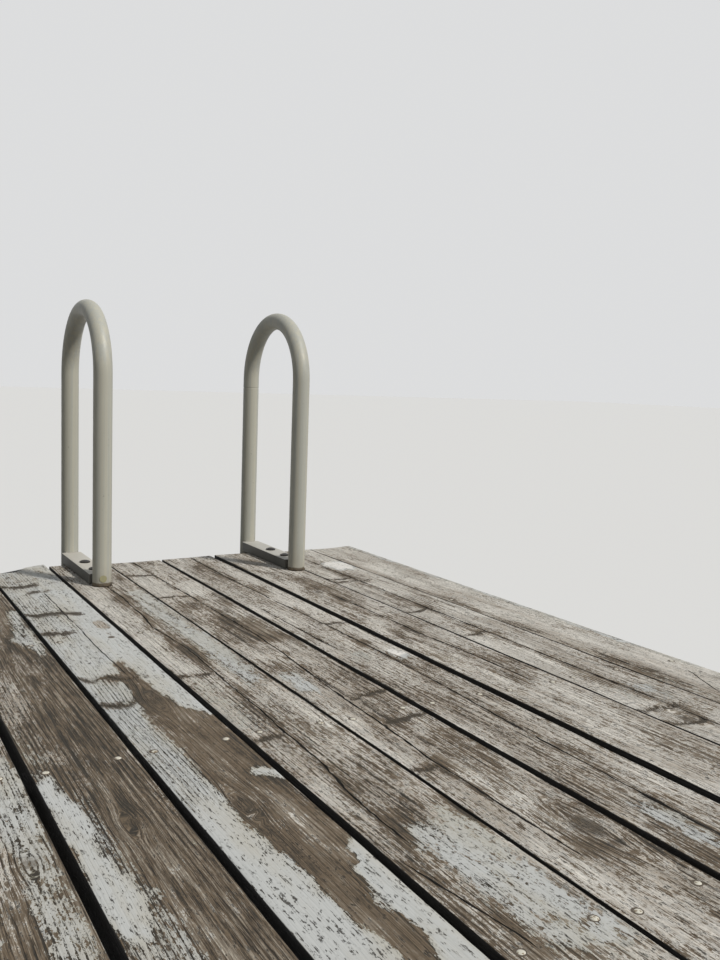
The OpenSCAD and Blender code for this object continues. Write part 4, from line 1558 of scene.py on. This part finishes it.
# Welds
# A bead of weld runs round the tubes where the base bars and the treads meet them.
weld_radius = 0.0022
weld_sides = 6
weld_material = metal_material("weld_metal", warm=(0.40, 0.375, 0.32, 1), cool=(0.33, 0.32, 0.29, 1),
                               stretch=(500, 500, 500), metallic=0.25, rough=0.50)


def add_weld(bm, x, y, z, start_deg, end_deg, steps):
    """A bead bent round a leg between two bearings, thicker and thinner along its run."""
    known = set(bm.verts)
    ring = bmesh.ops.create_circle(bm, segments=weld_sides, radius=weld_radius)["verts"]
    start = math.radians(start_deg)
    out = Matrix.Translation((tube_radius + weld_radius * 0.35, 0, 0)) @ Matrix.Rotation(math.pi / 2, 4, "X")
    place = Matrix.Translation((x, y, z)) @ Matrix.Rotation(start, 4, "Z") @ out
    bmesh.ops.transform(bm, matrix=place, verts=ring)
    edges = edges_of(ring)
    bmesh.ops.contextual_create(bm, geom=edges)
    last = bmesh.ops.spin(bm, geom=edges, cent=(x, y, z), axis=(0, 0, 1), dvec=(0, 0, 0),
                          angle=math.radians(end_deg - start_deg), steps=steps, use_merge=False)["geom_last"]
    bmesh.ops.contextual_create(bm, geom=only(bmesh.types.BMEdge, last))
    for v in bm.verts:
        if v not in known:
            turn = math.atan2(v.co.y - y, v.co.x - x)
            ripple = 0.25 * math.sin(turn * 34) + 0.2 * wander(*(v.co * 90))
            v.co += (v.co - Vector((x, y, z))).normalized() * weld_radius * ripple
            v.co.z += (v.co.z - z) * ripple * 0.8


bm = bmesh.new()
for side in ("left", "right"):
    low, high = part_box("base_bar_" + side)
    bar_turn = math.degrees(math.asin(cope_half / cope_radius))
    add_weld(bm, rail_x[side], front_y, high.z, 90 - bar_turn, 90 + bar_turn, 10)
    add_weld(bm, rail_x[side], rear_y, high.z, 270 - bar_turn, 270 + bar_turn, 10)
for node in tread_names:
    low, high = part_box(node)
    for side, start_deg in (("left", -88), ("right", 92)):
        for z in (high.z - 0.002, low.z + 0.0005):
            add_weld(bm, rail_x[side], rear_y, z, start_deg, start_deg + 176, 20)
settle(new_piece("ladder_welds", bm, weld_material))


# Frame bolts
# Galvanised hexagon bolts with large round washers hold the caps in the pile heads and the braces
# to the piles. Each goes right through, with its nut on the far side.
frame_bolt_radius = 0.0080
frame_washer_radius = 0.0250
frame_washer_thickness = 0.0030
frame_head_radius = 0.0139
frame_head_height = 0.0100
frame_nut_height = 0.0130
frame_thread_end = 0.0090
cap_bolt_spread = (0.045, 0.060)
bolt_seat = 0.0014
zinc_rust = [(0.40, 0.55, (0.135, 0.105, 0.075, 1)), (0.58, 0.68, (0.085, 0.042, 0.020, 1))]
zinc_material = spotted_material(
    "old_zinc", 90, 4, (0.23, 0.225, 0.21, 1), zinc_rust,
    0.42, rough_gain=0.3, relief=0.0008, metallic=0.35, noise_rough=0.65)


def add_washer(bm):
    """A round washer with its upper edge broken."""
    top, bevel = frame_washer_thickness, 0.0006
    turn_profile(bm, [(0, top), (frame_washer_radius - bevel, top), (frame_washer_radius, top - bevel),
                      (frame_washer_radius, 0), (0, 0)], 20)


head_pattern, nut_pattern = bmesh.new(), bmesh.new()
for pattern, height in ((head_pattern, frame_head_height), (nut_pattern, frame_nut_height)):
    add_washer(pattern)
    add_nut(pattern, frame_head_radius, height, frame_washer_thickness + height / 2)
thread_top = frame_washer_thickness + frame_nut_height + frame_thread_end
thread_bevel = 0.0015
turn_profile(nut_pattern, [
    (0, thread_top), (frame_bolt_radius - thread_bevel, thread_top),
    (frame_bolt_radius, thread_top - thread_bevel),
    (frame_bolt_radius, frame_washer_thickness), (0, frame_washer_thickness)], 12)
head_spots, nut_spots = [], []


def bolt_through(y, z, head_x, nut_x):
    """Notes a bolt along X, its head seated at one place and its nut at the other."""
    way = math.copysign(math.pi / 2, head_x - nut_x)
    spin = Matrix.Rotation(0.7 * (y * 37 + z * 53), 4, "Z")
    head_spots.append(Matrix.Translation((head_x, y, z)) @ Matrix.Rotation(way, 4, "Y") @ spin)
    nut_spots.append(Matrix.Translation((nut_x, y, z)) @ Matrix.Rotation(-way, 4, "Y") @ spin)


for bent in bent_names:
    cap_low, cap_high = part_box("cap_beams_" + bent)
    cap_middle = (cap_low + cap_high) / 2
    for row in ("open", "ladder"):
        pile_low, pile_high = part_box(f"pile_{bent}_{row}")
        pile_y = (pile_low.y + pile_high.y) / 2
        for share in (-1, 1):
            y = pile_y + share * cap_bolt_spread[0]
            z = cap_middle.z + share * cap_bolt_spread[1]
            bolt_through(y, z, cap_high.x - bolt_seat, cap_low.x + bolt_seat)
    for face, turn in (("out", 1), ("in", -1)):
        name = f"brace_{bent}_{face}"
        low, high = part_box(name)
        outer_x = high.x - bolt_seat if turn > 0 else low.x + bolt_seat
        for end in brace_ends[name]:
            radius = (pile_foot + (pile_head - pile_foot) * end.z / cap_high.z) / 2 - 0.0050
            bolt_through(end.y, end.z, outer_x, cap_middle.x - turn * radius)
scatter(head_pattern, head_spots, "frame_bolt_heads", zinc_material)
scatter(nut_pattern, nut_spots, "frame_bolt_nuts", zinc_material)


# Frame nails
# Three nails through the headers and rims into the end of each joist, and into the headers' ends.
frame_nail_radius = 0.0048
frame_nail_rise = 0.0012
nail_sunk = 0.0012
nail_levels = (-0.070, 0.0, 0.070)
frame_nail_pattern = bmesh.new()
add_dome(frame_nail_pattern, frame_nail_radius, frame_nail_rise)
frame_nail_places = []
nail_pick = random.Random(19)
for node, way in (("header_outer", 1), ("header_shore", -1)):
    low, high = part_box(node)
    x = high.x if way > 0 else low.x
    for joist in joist_names:
        joist_low, joist_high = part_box(joist)
        for level in nail_levels:
            y = (joist_low.y + joist_high.y) / 2 + nail_pick.uniform(-0.012, 0.012)
            z = (low.z + high.z) / 2 + level + nail_pick.uniform(-0.008, 0.008)
            turn = Matrix.Rotation(way * math.pi / 2, 4, "Y")
            frame_nail_places.append(Matrix.Translation((x - way * nail_sunk, y, z)) @ turn)
    for rim, side in (("rim_ladder_side", 1), ("rim_open_side", -1)):
        rim_low, rim_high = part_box(rim)
        y = rim_high.y if side > 0 else rim_low.y
        for level in nail_levels:
            nail_x = (low.x + high.x) / 2 + nail_pick.uniform(-0.010, 0.010)
            z = (low.z + high.z) / 2 + level + nail_pick.uniform(-0.008, 0.008)
            turn = Matrix.Rotation(-side * math.pi / 2, 4, "X")
            frame_nail_places.append(Matrix.Translation((nail_x, y - side * nail_sunk, z)) @ turn)
scatter(frame_nail_pattern, frame_nail_places, "frame_nails", zinc_material)
